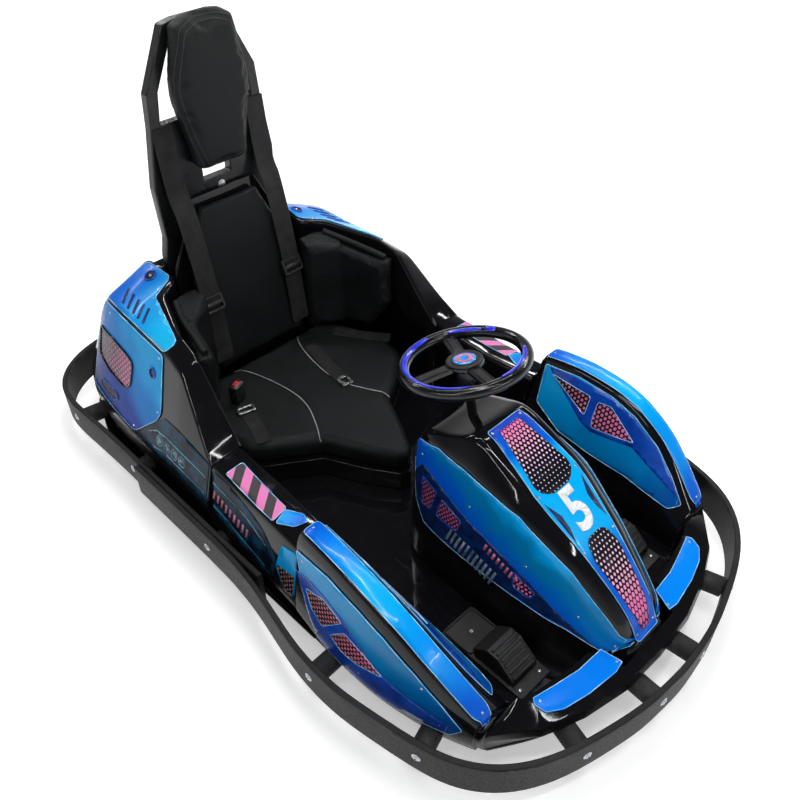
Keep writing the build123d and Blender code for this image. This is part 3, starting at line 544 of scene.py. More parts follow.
def printed(name, stops, direction, low, high, gleam=0.2):
    # a glossy printed sheet: ink that runs through a row of colours, under a clear film
    made, tree, shader = finish(name, (0, 0, 0), 0.2, coat=0.6 * gleam, gleam=gleam)
    where = [(0, shade(tree, "TexCoord").outputs["Object"]), (1, direction)]
    along = shade(tree, "VectorMath", where, operation="DOT_PRODUCT").outputs["Value"]
    along = calc(tree, "ADD", along, ranged(tree, spots(tree, 11, 2), 0.3, 0.7, -0.02, 0.02))
    ramp = shade(tree, "ValToRGB", [(0, ranged(tree, along, low, high, 0, 1))])
    ramp.color_ramp.interpolation = "EASE"
    elements = ramp.color_ramp.elements
    for i, (place, color) in enumerate(stops):
        stop = elements[i] if i < 2 else elements.new(place)
        stop.position = place
        stop.color = (*color, 1)
    speck = ranged(tree, spots(tree, 1500, 2), 0.35, 0.65, 0.93, 1.05)
    ink = shade(tree, "Mix", [(0, 1.0), (6, ramp.outputs[0]), (7, speck)], data_type="RGBA",
                blend_type="MULTIPLY")
    tree.links.new(ink.outputs[2], shader.inputs["Base Color"])
    worn = ranged(tree, spots(tree, 17, 4), 0.3, 0.7, 0.14, 0.26)
    tree.links.new(worn, shader.inputs["Roughness"])
    raised(tree, shader, [spots(tree, 30, 2), times(tree, spots(tree, 800, 2), 0.02)], 0.0006, 0.5)
    return made


def dotted(name, pitch, start, end, size_start, size_end, ink_start, ink_end, across="Y", tilt=0.0):
    # round holes of a punched sheet as a print: staggered dots that change size and ink along X
    ground = (0.006, 0.006, 0.012)
    made, tree, shader = finish(name, ground, 0.25, coat=0.1, gleam=0.2)
    where = shade(tree, "SeparateXYZ", [(0, shade(tree, "TexCoord").outputs["Object"])]).outputs
    x, y = where["X"], where[across]
    turned = calc(tree, "ADD", times(tree, x, cos(tilt)), times(tree, y, sin(tilt)))
    crossed = calc(tree, "SUBTRACT", times(tree, y, cos(tilt)), times(tree, x, sin(tilt)))
    row = calc(tree, "DIVIDE", turned, pitch * 0.866)
    shift = times(tree, calc(tree, "FLOORED_MODULO", calc(tree, "FLOOR", row), 2.0), 0.5)
    column = calc(tree, "ADD", calc(tree, "DIVIDE", crossed, pitch), shift)
    a = times(tree, calc(tree, "SUBTRACT", calc(tree, "FRACT", row), 0.5), 0.866)
    b = calc(tree, "SUBTRACT", calc(tree, "FRACT", column), 0.5)
    far = calc(tree, "SQRT", calc(tree, "ADD", times(tree, a, a), times(tree, b, b)))
    size = ranged(tree, x, start, end, size_start, size_end)
    mask = ranged(tree, calc(tree, "SUBTRACT", size, far), -0.03, 0.03, 0, 1)
    ink = blended(tree, ranged(tree, x, start, end, 0, 1), ink_start, ink_end)
    tree.links.new(blended(tree, mask, ground, ink), shader.inputs["Base Color"])
    worn = ranged(tree, spots(tree, 30, 3), 0.3, 0.7, 0.18, 0.32)
    tree.links.new(worn, shader.inputs["Roughness"])
    raised(tree, shader, [times(tree, mask, -0.25), spots(tree, 40, 2)], 0.0006, 0.4)
    return made


def sided(outline, side):
    # an outline seen from above, on the kart's left (1) or its right (-1)
    return [(x, side * y) for x, y in outline]


def both_sides(half):
    # closes a half outline over the middle line
    return half + sided(half[::-1], -1)


def plate(name, outline, surface, view, look, node, corner=0.006, thick=0.003):
    # a printed plate with rounded corners, laid on a moulded cover; its fine pale edge line is
    # partly the print's cut edge and partly a painted highlight
    soft = rounded_outline(outline, corner)
    made = laid(name, [soft], surface, view, look, lift=0.0004, thick=thick, step=0.012)
    edged(name + "_edge", [soft], surface, view, pale_edge_and_highlight, lift=0.0001 + thick)
    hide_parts(node)


# sections along X: x, foot y, mid y, mid z, edge y, edge z, ridge y, ridge z
CONSOLE = mm([
    (236, 112, 104, 190, 84, 395, 62, 412),
    (262, 134, 126, 190, 108, 430, 82, 446),
    (330, 154, 142, 190, 118, 452, 90, 470),
    (410, 162, 150, 190, 121, 446, 78, 512),
    (560, 166, 150, 184, 118, 412, 84, 436),
    (690, 158, 138, 172, 92, 328, 70, 346),
    (790, 128, 112, 150, 74, 238, 56, 258),
    (858, 92, 84, 120, 60, 164, 46, 176),
])
hood_rows = []
for x, foot_y, mid_y, mid_z, edge_y, edge_z, ridge_y, ridge_z in CONSOLE:
    half = [(foot_y, FOOT), (mid_y, mid_z), (edge_y, edge_z), (ridge_y, ridge_z)]
    hood_rows.append((x, [(-y, z) for y, z in half] + half[::-1]))
hood = moulded("console_hood", "console_shell", hood_rows,
               (0, 0.03, 0.02, 0.012, 0.012, 0.02, 0.03, 0), station=0.035, end=0.016)

INDIGO = (0.012, 0.05, 0.5)
COBALT = (0.0, 0.11, 0.66)
AZURE = (0.0, 0.42, 0.92)
TEAL = (0.0, 0.2, 0.46)
NAVY = (0.003, 0.018, 0.13)
PINK = (0.78, 0.17, 0.42)
PALE = (0.82, 0.72, 0.8)
crest_blue = printed("crest_blue", [(0.0, INDIGO), (1.0, COBALT), (0.14, COBALT), (0.3, AZURE),
                                    (0.55, AZURE), (0.78, COBALT)], (1, 0, 0), 0.41, 0.85)
flank_blue = printed("flank_blue", [(0.0, NAVY), (1.0, AZURE), (0.35, (0.0, 0.06, 0.33)),
                                    (0.62, COBALT), (0.85, TEAL)], (0.45, 0, 0.9), 0.27, 0.62)
rear_dots = dotted("rear_dots", 0.0105, 0.43, 0.555, 0.42, 0.12, PINK, PALE)
front_dots = dotted("front_dots", 0.0105, 0.68, 0.81, 0.14, 0.42, PALE, PINK)
rivet_steel = material("rivet_steel", color=(0.55, 0.57, 0.6), wear=(700, 3, 0.18, 0.4),
                       metallic=1.0)
ink_white = material("ink_white", 0.25, coat=0.6,
                     ink=(260, 3, 0.4, 0.7, (0.88, 0.9, 0.92), (0.8, 0.84, 0.88)))
ink_navy = material("ink_navy", 0.22, coat=0.15,
                    ink=(40, 3, 0.35, 0.7, (0.004, 0.01, 0.05), (0.004, 0.03, 0.14)))
# pale lines along the prints' cut edges, partly a painted highlight that stays lit along them
pale_edge_and_highlight = material("pale_edge_and_highlight", 0.2, coat=0.6,
                      ink=(25, 2, 0.35, 0.65, (0.1, 0.5, 0.92), (0.5, 0.78, 0.95)))

crest = surface_of(hood)
CREST_HALF = mm([(409, 53), (559, 71.5), (600, 69.5), (685, 57.5), (770, 46), (850, 37)])
plate("console_crest_plate", both_sides(CREST_HALF), crest, DOWN, crest_blue, "console_top_plate")
REAR_PATCH = mm([(424, 32), (548, 58), (562, 53), (577, 30)])
FRONT_PATCH = mm([(674, 20), (682, 33), (712, 42), (811, 26), (838, 14)])
NOTCH = mm([(580, 64), (602, 61), (668, 55), (640, 46), (616, 45)])
CREST_RIVETS = mm([(418, 46), (566, 64), (688, 51.5), (838, 30)])
rear_patch, front_patch = [rounded_outline(both_sides(h), 0.008) for h in (REAR_PATCH, FRONT_PATCH)]
laid("console_rear_dots", [rear_patch], crest, DOWN, rear_dots, step=0.01)
laid("console_front_dots", [front_patch], crest, DOWN, front_dots, step=0.01)
edged("console_patch_lines", [rear_patch, front_patch], crest, DOWN, ink_navy, radius=0.0007)
laid("console_notches", [NOTCH, sided(NOTCH, -1)], crest, DOWN, ink_navy, step=0.01)
studs("console_crest_rivets", [(x, s * y) for x, y in CREST_RIVETS for s in (1, -1)], crest, DOWN)

NUMERAL_X = 0.626
numeral_data = bpy.data.curves.new("numeral_outline", "FONT")
numeral_data.body = "5"
numeral_data.size = 0.112
numeral_data.offset = 0.0032
numeral_data.align_x = "CENTER"
numeral_data.align_y = "CENTER"
numeral_data.resolution_u = 4
numeral_source = linked("numeral_outline", numeral_data)
bpy.context.view_layer.update()
numeral_mesh = bpy.data.meshes.new_from_object(resolved(numeral_source))
numeral_shapes = [[(NUMERAL_X - numeral_mesh.vertices[i].co.y, numeral_mesh.vertices[i].co.x)
                   for i in face.vertices] for face in numeral_mesh.polygons]
bpy.data.objects.remove(numeral_source)
laid("console_numeral", numeral_shapes, crest, DOWN, ink_white, lift=ON_PLATE + 0.0004)

# Console flanks: on each printed side sheet a dark panel with cooling louvres, punched windows and
# short ribs is printed under the film; the sheets are held by small steel rivets.
CONSOLE_SIDE = mm([
    (246, 398), (264, 424), (330, 446), (410, 440), (560, 406), (690, 322), (790, 232), (846, 174),
    (800, 160), (723, 182), (570, 196), (410, 201), (310, 204), (272, 250), (252, 350),
])
FLANK_PANEL = mm([
    (258, 325), (288, 372), (352, 352), (452, 312), (560, 282), (660, 232), (742, 190), (790, 166),
    (723, 187), (570, 201), (410, 206), (312, 209), (276, 252),
])
FLANK_WINDOWS = mm([
    [(292, 338), (345, 328), (330, 262), (297, 258)],
    [(362, 322), (428, 300), (418, 262), (350, 262)],
    [(578, 262), (640, 232), (628, 212), (585, 222)],
])
FLANK_RIVETS = mm([(282, 395), (440, 356), (600, 290), (735, 222), (820, 178)])
band_cobalt = material("band_cobalt", 0.2, coat=0.15, relief=(0.0005, 0.4, (30, 2, 1)),
                       ink=(18, 3, 0.35, 0.65, (0.002, 0.035, 0.3), (0.004, 0.075, 0.48)))
flank_dots = dotted("flank_dots", 0.0105, 0.3, 0.63, 0.34, 0.3, (0.4, 0.09, 0.2), PINK, "Z", 0.4)
louvre_grey = material("louvre_grey", 0.3, coat=0.5,
                       ink=(50, 3, 0.35, 0.65, (0.05, 0.09, 0.13), (0.3, 0.38, 0.44)))
rib_pink = material("rib_pink", 0.3, coat=0.5,
                    ink=(60, 3, 0.35, 0.65, (0.42, 0.07, 0.12), (0.75, 0.22, 0.3)))


def bars(count, at, step, outline):
    # a row of like outlines, each one a step on from the last
    return mm([[(at[0] + step[0] * k + x, at[1] + step[1] * k + y) for x, y in outline]
               for k in range(count)])


def softened(outlines, radius):
    return [rounded_outline(outline, radius) for outline in outlines]


louvres = bars(11, (402, 262), (13.5, -3.4), [(0, 0), (6.2, -1.5), (-6, -45), (-12.2, -43.5)])
ribs = bars(9, (500, 288), (12.5, -4.7), [(0, 0), (6, -2), (1, -22), (-5, -20)])
flank_windows = softened(FLANK_WINDOWS, 0.008)
for hand, view in (("right", FROM_RIGHT), ("left", FROM_LEFT)):
    plate("flank_plate_" + hand, CONSOLE_SIDE, crest, view, flank_blue, "console_side_plates")
    laid("flank_panel_" + hand, softened([FLANK_PANEL], 0.012), crest, view, ink_navy, step=0.01)
    laid("flank_windows_" + hand, flank_windows, crest, view, flank_dots, lift=ON_PLATE + 0.0005,
         step=0.01)
    edged("flank_window_lines_" + hand, flank_windows, crest, view, band_cobalt,
          lift=ON_PLATE + 0.0008, radius=0.0014)
    laid("flank_louvres_" + hand, louvres, crest, view, louvre_grey, lift=ON_PLATE + 0.0005)
    laid("flank_ribs_" + hand, ribs, crest, view, rib_pink, lift=ON_PLATE + 0.0005)
    studs("flank_rivets_" + hand, FLANK_RIVETS, crest, view)

# Side pods: hollow covers over the front wheels, moulded in gloss black with a soft crest. A
# printed strip runs along each crest and a printed sheet with punched windows lies on both sides.
# sections along X: x, strip middle y, top z, outer low y, inner foot y, inner kink z
POD = mm([
    (226, 419, 352, 480, 318, 190),
    (245, 420, 369, 484, 318, 190),
    (350, 430, 376, 498, 318, 190),
    (450, 436, 366, 503, 318, 190),
    (520, 436, 346, 498, 318, 188),
    (600, 430, 302, 484, 318, 180),
    (660, 419, 252, 468, 316, 168),
    (722, 403, 193, 444, 312, 150),
    (748, 396, 168, 430, 310, 138),
])
pod_rows = []
for x, mid_y, top_z, low_y, foot_y, kink_z in POD:
    pod_rows.append((x, [
        (foot_y, FOOT), (foot_y + 0.008, kink_z), (mid_y - 0.024, top_z), (mid_y + 0.024, top_z),
        (mid_y + 0.036, top_z - 0.026), (low_y, LOW_Z), (low_y - TUCK, FOOT),
    ]))
POD_SOFTNESS = (0, 0.03, 0.012, 0.012, 0.012, 0.015, 0)
pod_left, pod_right = [
    moulded("side_cover_" + hand, "side_pod_" + hand, pod_rows, POD_SOFTNESS, 0.045, 0.014, flip)
    for hand, flip in (("left", False), ("right", True))
]

strip_blue = printed("strip_blue", [(0.0, COBALT), (1.0, COBALT), (0.2, (0.0, 0.25, 0.85)),
                                    (0.45, AZURE), (0.75, (0.0, 0.3, 0.88))], (1, 0, 0), 0.24, 0.73)
pod_blue = printed("pod_blue", [(0.0, (0.0, 0.06, 0.3)), (1.0, (0.0, 0.34, 0.72)),
                                (0.45, (0.0, 0.19, 0.46)), (0.7, (0.0, 0.27, 0.6))],
                   (-0.35, 0, 0.75), -0.12, 0.16, gleam=0.12)
window_dots = dotted("window_dots", 0.0118, 0.16, 0.5, 0.22, 0.36, (0.4, 0.2, 0.14),
                     (0.66, 0.16, 0.3), "Z", 0.2)
STRIP_MID = mm([
    (243, 419.5), (350, 430), (450, 436), (520, 436), (600, 430), (660, 419), (720, 404),
])
STRIP_HALF = 0.0205
strip = [(x, y - STRIP_HALF) for x, y in STRIP_MID] + mm([(738, 389), (738, 411)])
strip += [(x, y + STRIP_HALF) for x, y in STRIP_MID[::-1]]
OUTER_PLATE = mm([
    (238, 318), (350, 338), (450, 328), (520, 308), (600, 265), (660, 216), (712, 160), (690, 132),
    (560, 126), (420, 124), (330, 126), (285, 180),
])
INNER_PLATE = mm([
    (250, 350), (350, 358), (450, 348), (520, 328), (600, 284), (660, 234), (712, 184), (690, 172),
    (640, 182), (560, 196), (450, 200), (350, 210), (262, 250),
])
OUTER_LOWER = mm([
    (240, 262), (300, 276), (352, 276), (411, 262), (470, 232), (541, 194), (601, 180), (684, 160),
    (680, 136), (560, 129), (420, 127), (332, 129), (290, 178),
])
OUTER_WINDOWS = mm([
    [(281, 240), (347, 266), (409, 252), (347, 181), (305, 199)],
    [(374, 181), (419, 231), (478, 219), (532, 195), (461, 172), (413, 167)],
])
INNER_BAND = mm([
    (262, 349), (350, 355), (450, 345), (520, 325), (600, 281), (660, 231), (700, 195), (640, 222),
    (546, 262), (430, 250), (395, 262), (300, 322),
])
INNER_WINDOWS = mm([
    [(277, 335), (398, 327), (400, 278)],
    [(421, 323), (458, 326), (546, 272), (430, 260), (424, 279)],
])
STRIP_RIVETS = mm([(253, 420), (724, 402.5)])
POD_RIVETS = mm([(262, 305), (330, 150), (470, 150), (620, 235), (668, 150)])
for hand, side, cover, outer_view, inner_view in (("right", -1, pod_right, FROM_RIGHT, TO_RIGHT),
                                                  ("left", 1, pod_left, FROM_LEFT, TO_LEFT)):
    top = surface_of(cover)
    plate("pod_strip_" + hand, sided(strip, side), top, DOWN, strip_blue, "pod_strips",
          corner=0.009)
    studs("pod_strip_rivets_" + hand, sided(STRIP_RIVETS, side), top, DOWN)
    plate("pod_outer_" + hand, OUTER_PLATE, top, outer_view, pod_blue, "pod_side_plates")
    plate("pod_inner_" + hand, INNER_PLATE, top, inner_view, pod_blue, "pod_side_plates")
    for where, view, band, windows in (("outer", outer_view, OUTER_LOWER, OUTER_WINDOWS),
                                       ("inner", inner_view, INNER_BAND, INNER_WINDOWS)):
        windows = softened(windows, 0.007)
        start = "pod_" + where
        laid(start + "_band_" + hand, softened([band], 0.006), top, view, band_cobalt, step=0.01)
        laid(start + "_windows_" + hand, windows, top, view, window_dots, lift=ON_PLATE + 0.0005,
             step=0.01)
        edged(start + "_window_lines_" + hand, windows, top, view, pale_edge_and_highlight,
              lift=ON_PLATE + 0.0006)
    studs("pod_plate_rivets_" + hand, POD_RIVETS, top, outer_view)

# Sills: low hollow steps beside the seat, moulded in gloss black. A grip sheet with pink stripes
# lies on each, with a blue tip at its front, and a dark printed strip runs along the outer side.
# sections along X: x, inner foot y, inner top y, outer top y, outer low y, top z
SILL = mm([
    (-110, 342, 350, 436, 468, 312),
    (60, 334, 350, 438, 470, 300),
    (225.7, 322, 362, 446, 479, 302),
])
sill_rows = [(x, [(foot_y, FOOT), (in_y, top_z), (out_y, top_z - 0.008), (low_y, LOW_Z),
                  (low_y - TUCK, FOOT)]) for x, foot_y, in_y, out_y, low_y, top_z in SILL]
sill_left, sill_right = [
    moulded("sill_" + hand, "sills", sill_rows, (0, 0.014, 0.016, 0.015, 0), end=0.004, flip=flip)
    for hand, flip in (("left", False), ("right", True))
]

# diagonal stripes across the sill: pink bars on dark grip paper
STRIPE_PITCH = 0.047
STRIPE_TURN = radians(-38)
grip_stripes, tree, shader = finish("grip_stripes", (0, 0, 0), 0.6)
where = shade(tree, "SeparateXYZ", [(0, shade(tree, "TexCoord").outputs["Object"])]).outputs
across = times(tree, calc(tree, "ABSOLUTE", where["Y"]), sin(STRIPE_TURN))
run = calc(tree, "ADD", times(tree, where["X"], cos(STRIPE_TURN)), across)
wave = calc(tree, "FRACT", calc(tree, "DIVIDE", run, STRIPE_PITCH))
bar = calc(tree, "ABSOLUTE", calc(tree, "SUBTRACT", wave, 0.5))
grit = spots(tree, 1300, 3)
share = ranged(tree, grit, 0.35, 0.65, 0, 1)
pink = blended(tree, share, (0.62, 0.13, 0.36), (0.83, 0.24, 0.55))
dark = blended(tree, share, (0.012, 0.011, 0.013), (0.05, 0.045, 0.05))
stripes = blended(tree, ranged(tree, bar, 0.235, 0.255, 1, 0), dark, pink)
tree.links.new(stripes, shader.inputs["Base Color"])
raised(tree, shader, [grit], 0.0006, 0.8)

tip_blue = printed("tip_blue", [(0.0, (0.0, 0.33, 0.85)), (1.0, COBALT)], (1, 0, 0), 0.11, 0.2)
side_art = material("side_art", 0.25, gleam=0.12,
                    ink=(22, 4, 0.4, 0.66, (0.002, 0.005, 0.012), (0.004, 0.045, 0.09)))
PAD_EDGE = mm([(-64, 427), (-62, 379), (117, 391), (122, 434)])
SILL_TIP = mm([(119, 396), (162, 376), (184, 384), (172, 414), (132, 434)])
TAIL = mm([(168, 262), (218, 276), (224.5, 270), (224.5, 150), (190, 138), (152, 188)])
TAIL_WINDOW = mm([(156, 196), (197, 204), (221, 210), (221, 146), (190, 143)])
for hand, side, sill, view in (("right", -1, sill_right, FROM_RIGHT),
                               ("left", 1, sill_left, FROM_LEFT)):
    top = surface_of(sill)
    plate("sill_pad_" + hand, sided(PAD_EDGE, side), top, DOWN, grip_stripes, "sill_pads",
          thick=0.0025)
    plate("sill_tip_" + hand, sided(SILL_TIP, side), top, DOWN, tip_blue, "sill_pads")
    laid("pod_tail_" + hand, softened([TAIL], 0.006), top, view, pod_blue, lift=0.0004, thick=0.002)
    laid("pod_tail_window_" + hand, softened([TAIL_WINDOW], 0.006), top, view, window_dots,
         lift=0.003, step=0.01)

# Rear pods and rear deck: tall hollow covers beside and behind the seat, over the rear wheels, in
# gloss black. Printed blue plates lie on each pod, with a printed vent; their slots, filler hole
# and bolt recess are flat near-black sheets of painted shade.
# sections along X: x, inner wall y, inner top z, seam y, seam z, low y
REAR_POD = mm([
    (-110.3, 342, 312, 437, 304, 468),
    (-165, 340, 372, 420, 352, 467),
    (-262, 334, 496, 386, 462, 464),
    (-330, 326, 513, 376, 474, 462),
    (-500, 262, 526, 366, 477, 457),
    (-530, 206, 534, 365, 478, 456),
    (-600, 206, 545, 360, 482, 452),
    (-655, 212, 541, 352, 478, 446),
    (-700, 218, 490, 344, 440, 440),
    (-790, 218, 360, 320, 330, 402),
    (-838, 218, 262, 300, 240, 336),
])
rear_rows = [(x, [(wall_y, FOOT), (wall_y, top_z), (seam_y, seam_z), (low_y, 0.190),
                  (low_y - TUCK, FOOT)]) for x, wall_y, top_z, seam_y, seam_z, low_y in REAR_POD]
dressed("rear_deck", shell_black, 0.006, parts=3)
rear_upper = printed("rear_upper", [(0.0, (0.012, 0.13, 0.62)), (1.0, (0.01, 0.48, 0.86)),
                                    (0.5, (0.008, 0.34, 0.78))], (1, 0, 0), -0.65, -0.36)
rear_side = printed("rear_side", [(0.0, (0.0, 0.012, 0.15)), (1.0, (0.0, 0.36, 0.78)),
                                  (0.33, (0.0, 0.04, 0.34)), (0.66, (0.0, 0.20, 0.62))],
                    (0.55, 0, 0.85), -0.17, 0.13, gleam=0.07)
vent_dots = dotted("vent_dots", 0.0135, -0.66, -0.49, 0.30, 0.42, (0.1, 0.05, 0.09),
                   (0.66, 0.16, 0.36), "Z", 0.3)
# painted shade: near-black flat sheets stand for the shade inside the slots, the low slot, the
# filler hole and the bolt recess, which the covers have no hollows for
painted_hole_shade = material("painted_hole_shade", color=(0.002, 0.003, 0.006), wear=(60, 3, 0.35, 0.6))
strip_teal = material("strip_teal", 0.25, coat=0.4,
                      ink=(30, 3, 0.35, 0.65, (0.003, 0.05, 0.1), (0.02, 0.16, 0.24)))
UPPER_PLATE = mm([
    (-640, 222), (-541, 217), (-520, 281), (-334, 341), (-347, 372), (-500, 361.5), (-600, 356),
    (-653, 348),
])
SIDE_PLATE = mm([
    (-655, 472), (-600, 476), (-500, 471), (-351, 468), (-338, 316), (-353, 288), (-452, 201),
    (-476, 197), (-690, 212), (-702, 300), (-700, 400),
])
VENT = mm([
    (-514, 390), (-484, 380), (-487, 314), (-512, 296), (-600, 303), (-664, 318), (-676, 392),
    (-600, 398),
])
LOW_SLOT = mm([(-645, 249), (-635, 259), (-553, 259), (-542, 245), (-560, 233), (-636, 233)])
SIDE_STRIP = mm([
    (-452, 196), (-335, 300), (-322, 312), (-259, 315), (-116, 303), (-116, 150), (-166, 190),
    (-331, 192),
])
SILL_STRIP = mm([
    (-104, 294), (-40, 290), (30, 272), (95, 250), (150, 205), (146, 150), (120, 130), (49, 134),
    (-54, 158), (-104, 168),
])
# on the side strip: long rails on the pod, runs on the sill, and the middles of four rounds
RAILS = mm([
    [(-400, 232), (-350, 262), (-300, 270), (-125, 262), (-125, 254), (-300, 262), (-346, 254)],
    [(-370, 208), (-300, 222), (-125, 214), (-125, 206), (-300, 214), (-360, 203)],
])
RUNS = mm([
    [(-100, 262), (30, 246), (110, 216), (110, 208), (30, 238), (-100, 254)],
    [(-100, 190), (-40, 180), (60, 158), (112, 152), (112, 144), (50, 150), (-100, 180)],
])
ROUNDS = (-0.335, -0.300, -0.265, -0.230)
SIDE_RIVETS = mm([(-365, 455), (-352, 312), (-460, 212), (-620, 455)])
UPPER_RIVETS = mm([(-360, 343), (-535, 262)])
RECESS = (-0.590, 0.247)
FILLER = (-0.388, 0.404)
slots = bars(5, (-609, 305), (27.5, 2.2), [(-4, 0), (4, -0.6), (28, 36), (20, 37.5)])
slots = softened(slots, 0.003)
ticks = bars(9, (-98, 236), (16.5, -3.5), [(0, 0), (7, 0), (2, -28), (-5, -28)])


def ring(a, b, radius, count=20):
    # a round outline in a view's two coordinates
    turns = [2 * pi * k / count for k in range(count)]
    return [(a + radius * cos(turn), b + radius * sin(turn)) for turn in turns]


for hand, side, view, sill in (("left", 1, FROM_LEFT, sill_left),
                               ("right", -1, FROM_RIGHT, sill_right)):
    cover = moulded("rear_cover_" + hand, "rear_pod_" + hand, rear_rows, (0, 0.014, 0.010, 0.03, 0),
                    station=0.016, end=0.0015, flip=side < 0)
    top = surface_of(cover)
    low = surface_of(cover, sill)
    plate("rear_upper_" + hand, sided(UPPER_PLATE, side), top, DOWN, rear_upper, "rear_pod_plates",
          corner=0.012)
    plate("rear_side_" + hand, SIDE_PLATE, top, view, rear_side, "rear_pod_plates", corner=0.012)
    # the slots, the low slot, the filler hole and the recess are flat sheets in painted shade; the
    # vent is a print
    # name, rim's name, outlines, rim's outlines, view, look, rim's look, its lift, its radius, step
    for hole, rim, shapes, rims, way, look, rim_look, rise, radius, step in (
        ("slots", "slot_rims", slots, slots, DOWN, painted_hole_shade, band_cobalt, 0, 0.001, 0.02),
        ("vent", "vent_rim", softened([VENT], 0.012), softened([VENT], 0.012), view, vent_dots,
         shell_black, 0.001, 0.003, 0.012),
        ("low_slot", "low_rim", softened([LOW_SLOT], 0.006), softened([LOW_SLOT], 0.006), view,
         painted_hole_shade, band_cobalt, 0.0005, 0.0015, 0.012),
        ("fillers", "filler_rim", [ring(*FILLER, 0.012)], [ring(*FILLER, 0.0125)], view,
         painted_hole_shade, band_cobalt, 0.001, 0.0025, 0.02),
        ("recess", "recess_rim", [ring(*RECESS, 0.013)], [ring(*RECESS, 0.0145)], DOWN,
         painted_hole_shade, band_cobalt, 0.001, 0.0028, 0.02),
    ):
        if way == DOWN:
            shapes, rims = [[sided(outline, side) for outline in row] for row in (shapes, rims)]
        laid("rear_" + hole + "_" + hand, shapes, top, way, look, step=step)
        edged("rear_" + rim + "_" + hand, rims, top, way, rim_look, lift=ON_PLATE + rise,
              radius=radius)
    studs("rear_recess_bolt_" + hand, sided([RECESS], side), top, DOWN, 0.004, 0.0015, ON_PLATE)
    studs("rear_side_rivets_" + hand, SIDE_RIVETS, top, view)
    studs("rear_upper_rivets_" + hand, sided(UPPER_RIVETS, side), top, DOWN)
    for name, shapes, under, look, lift, thick, step in (
        ("rear_", softened([SIDE_STRIP], 0.01), top, side_art, 0.0005, 0.0008, 0.012),
        ("front_", softened([SILL_STRIP], 0.01), low, side_art, 0.0005, 0.0008, 0.012),
        ("ticks_", ticks, low, rib_pink, 0.0016, 0.0004, 0.02),
        ("rails_", RAILS, top, strip_teal, 0.0016, 0.0004, 0.02),
        ("runs_", RUNS, low, strip_teal, 0.0016, 0.0004, 0.02),
        ("rounds_", [ring(x, 0.238, 0.011, 14) for x in ROUNDS], top, strip_teal, 0.0017, 0.0004,
         0.02),
    ):
        laid("side_strip_" + name + hand, shapes, under, view, look, lift=lift, thick=thick,
             step=step)
    edged("side_strip_round_rims_" + hand, [ring(x, 0.238, 0.014, 14) for x in ROUNDS], top, view,
          louvre_grey, lift=0.0016, radius=0.0011)

# Front deck and bumper: the nose is a gloss black moulding, a printed blue plate at each corner.
# Around the kart run two bands of thick matte plastic on rubber posts, bolted through from outside.
dressed("front_deck", shell_black, 0.003, parts=3)
deck_blue = printed("deck_blue", [(0.0, (0.0, 0.2, 0.86)), (1.0, (0.0, 0.24, 0.9))], (0, 1, 0),
                    -0.3, 0.3)
dressed("front_plates", deck_blue, 0.0008)
deck_faces = face_of("front_plates")
DECK_PLATE = mm([
    (770, 295), (781, 303), (806, 296), (827, 262), (843, 200), (854, 120), (850, 92), (803, 107),
    (798, 178), (784, 240),
])
DECK_RIVETS = mm([(783, 288), (841, 100)])
for hand, side in (("left", 1), ("right", -1)):
    outline = sided([(x - 0.0008, y - 0.0005) for x, y in DECK_PLATE], side)
    edged("deck_plate_edge_" + hand, softened([outline], 0.003), deck_faces, DOWN, pale_edge_and_highlight,
          lift=0.0001, step=0.01)
    studs("deck_rivets_" + hand, sided(DECK_RIVETS, side), deck_faces, DOWN, lift=0)


def curved(points, steps=8):
    # a smooth line through points
    points = [Vector(p) for p in points]
    made = []
    for p0, p1, p2, p3 in zip([points[0]] + points, points, points[1:], points[2:] + [points[-1]]):
        for t in (k / steps for k in range(steps)):
            bend = (2 * p0 - 5 * p1 + 4 * p2 - p3) * t * t + (3 * p1 - p0 - 3 * p2 + p3) * t ** 3
            made.append(0.5 * (2 * p1 + (p2 - p0) * t + bend))
    return made + [points[-1]]


def spun(name, places, rings, look, body="chassis", count=24):
    # turned pieces, one on each place, axis and length; rings are radius, share of length and rise
    verts, faces = [], []
    for at, axis, length in places:
        axis = axis.normalized()
        first = axis.orthogonal().normalized()
        second = axis.cross(first)
        start = len(verts)
        for radius, share, rise in rings:
            middle = at + axis * (share * length + rise)
            verts += [middle + (first * cos(turn) + second * sin(turn)) * radius
                      for turn in (2 * pi * k / count for k in range(count))]
        faces += banded(len(rings), count, start) + capped(verts, count, start)
    made = piece_from(name, verts, faces)
    made.data.set_sharp_from_angle(angle=radians(40))
    placed(made, body, look)


# a rolled lip runs round the floor tray, and stops where the steered front tyres swing out; x, y of
# its left half at the nose and at the tail
LIP_Z = 0.0750
LIP_R = 0.0075
LIP_NOSE = mm([(868, 0), (862, 120), (838, 225), (802, 315), (748, 405)])
LIP_TAIL = mm([
    (300, 483), (60, 484), (-300, 484), (-530, 482), (-630, 462), (-700, 438), (-790, 400),
    (-840, 320), (-860, 200), (-864, 0),
])
nose, tail = [[(x * 0.995, y * 0.99, LIP_Z) for x, y in half] for half in (LIP_NOSE, LIP_TAIL)]
front_lip = [(x, -y, z) for x, y, z in nose[:0:-1]] + nose
rear_lip = tail + [(x, -y, z) for x, y, z in tail[-2::-1]]
beads("tray_lip_front", [curved(front_lip, 5)], LIP_R, shell_black)
beads("tray_lip_rear", [curved(rear_lip, 5)], LIP_R, shell_black)

band_plastic = material("band_plastic", gleam=0.25, wear=(260, 3, 0.42, 0.66),
                        ink=(9, 4, 0.4, 0.75, (0.005, 0.005, 0.0055), (0.014, 0.014, 0.015)),
                        relief=(0.0006, 0.7, (260, 3, 1), (9, 4, 1.5)))
dressed("bumper_front_band", band_plastic, 0.004, parts=3)
dressed("bumper_rear_band", band_plastic, 0.004, parts=3)
dressed("bumper_mounts", slick_rubber, 0.002)

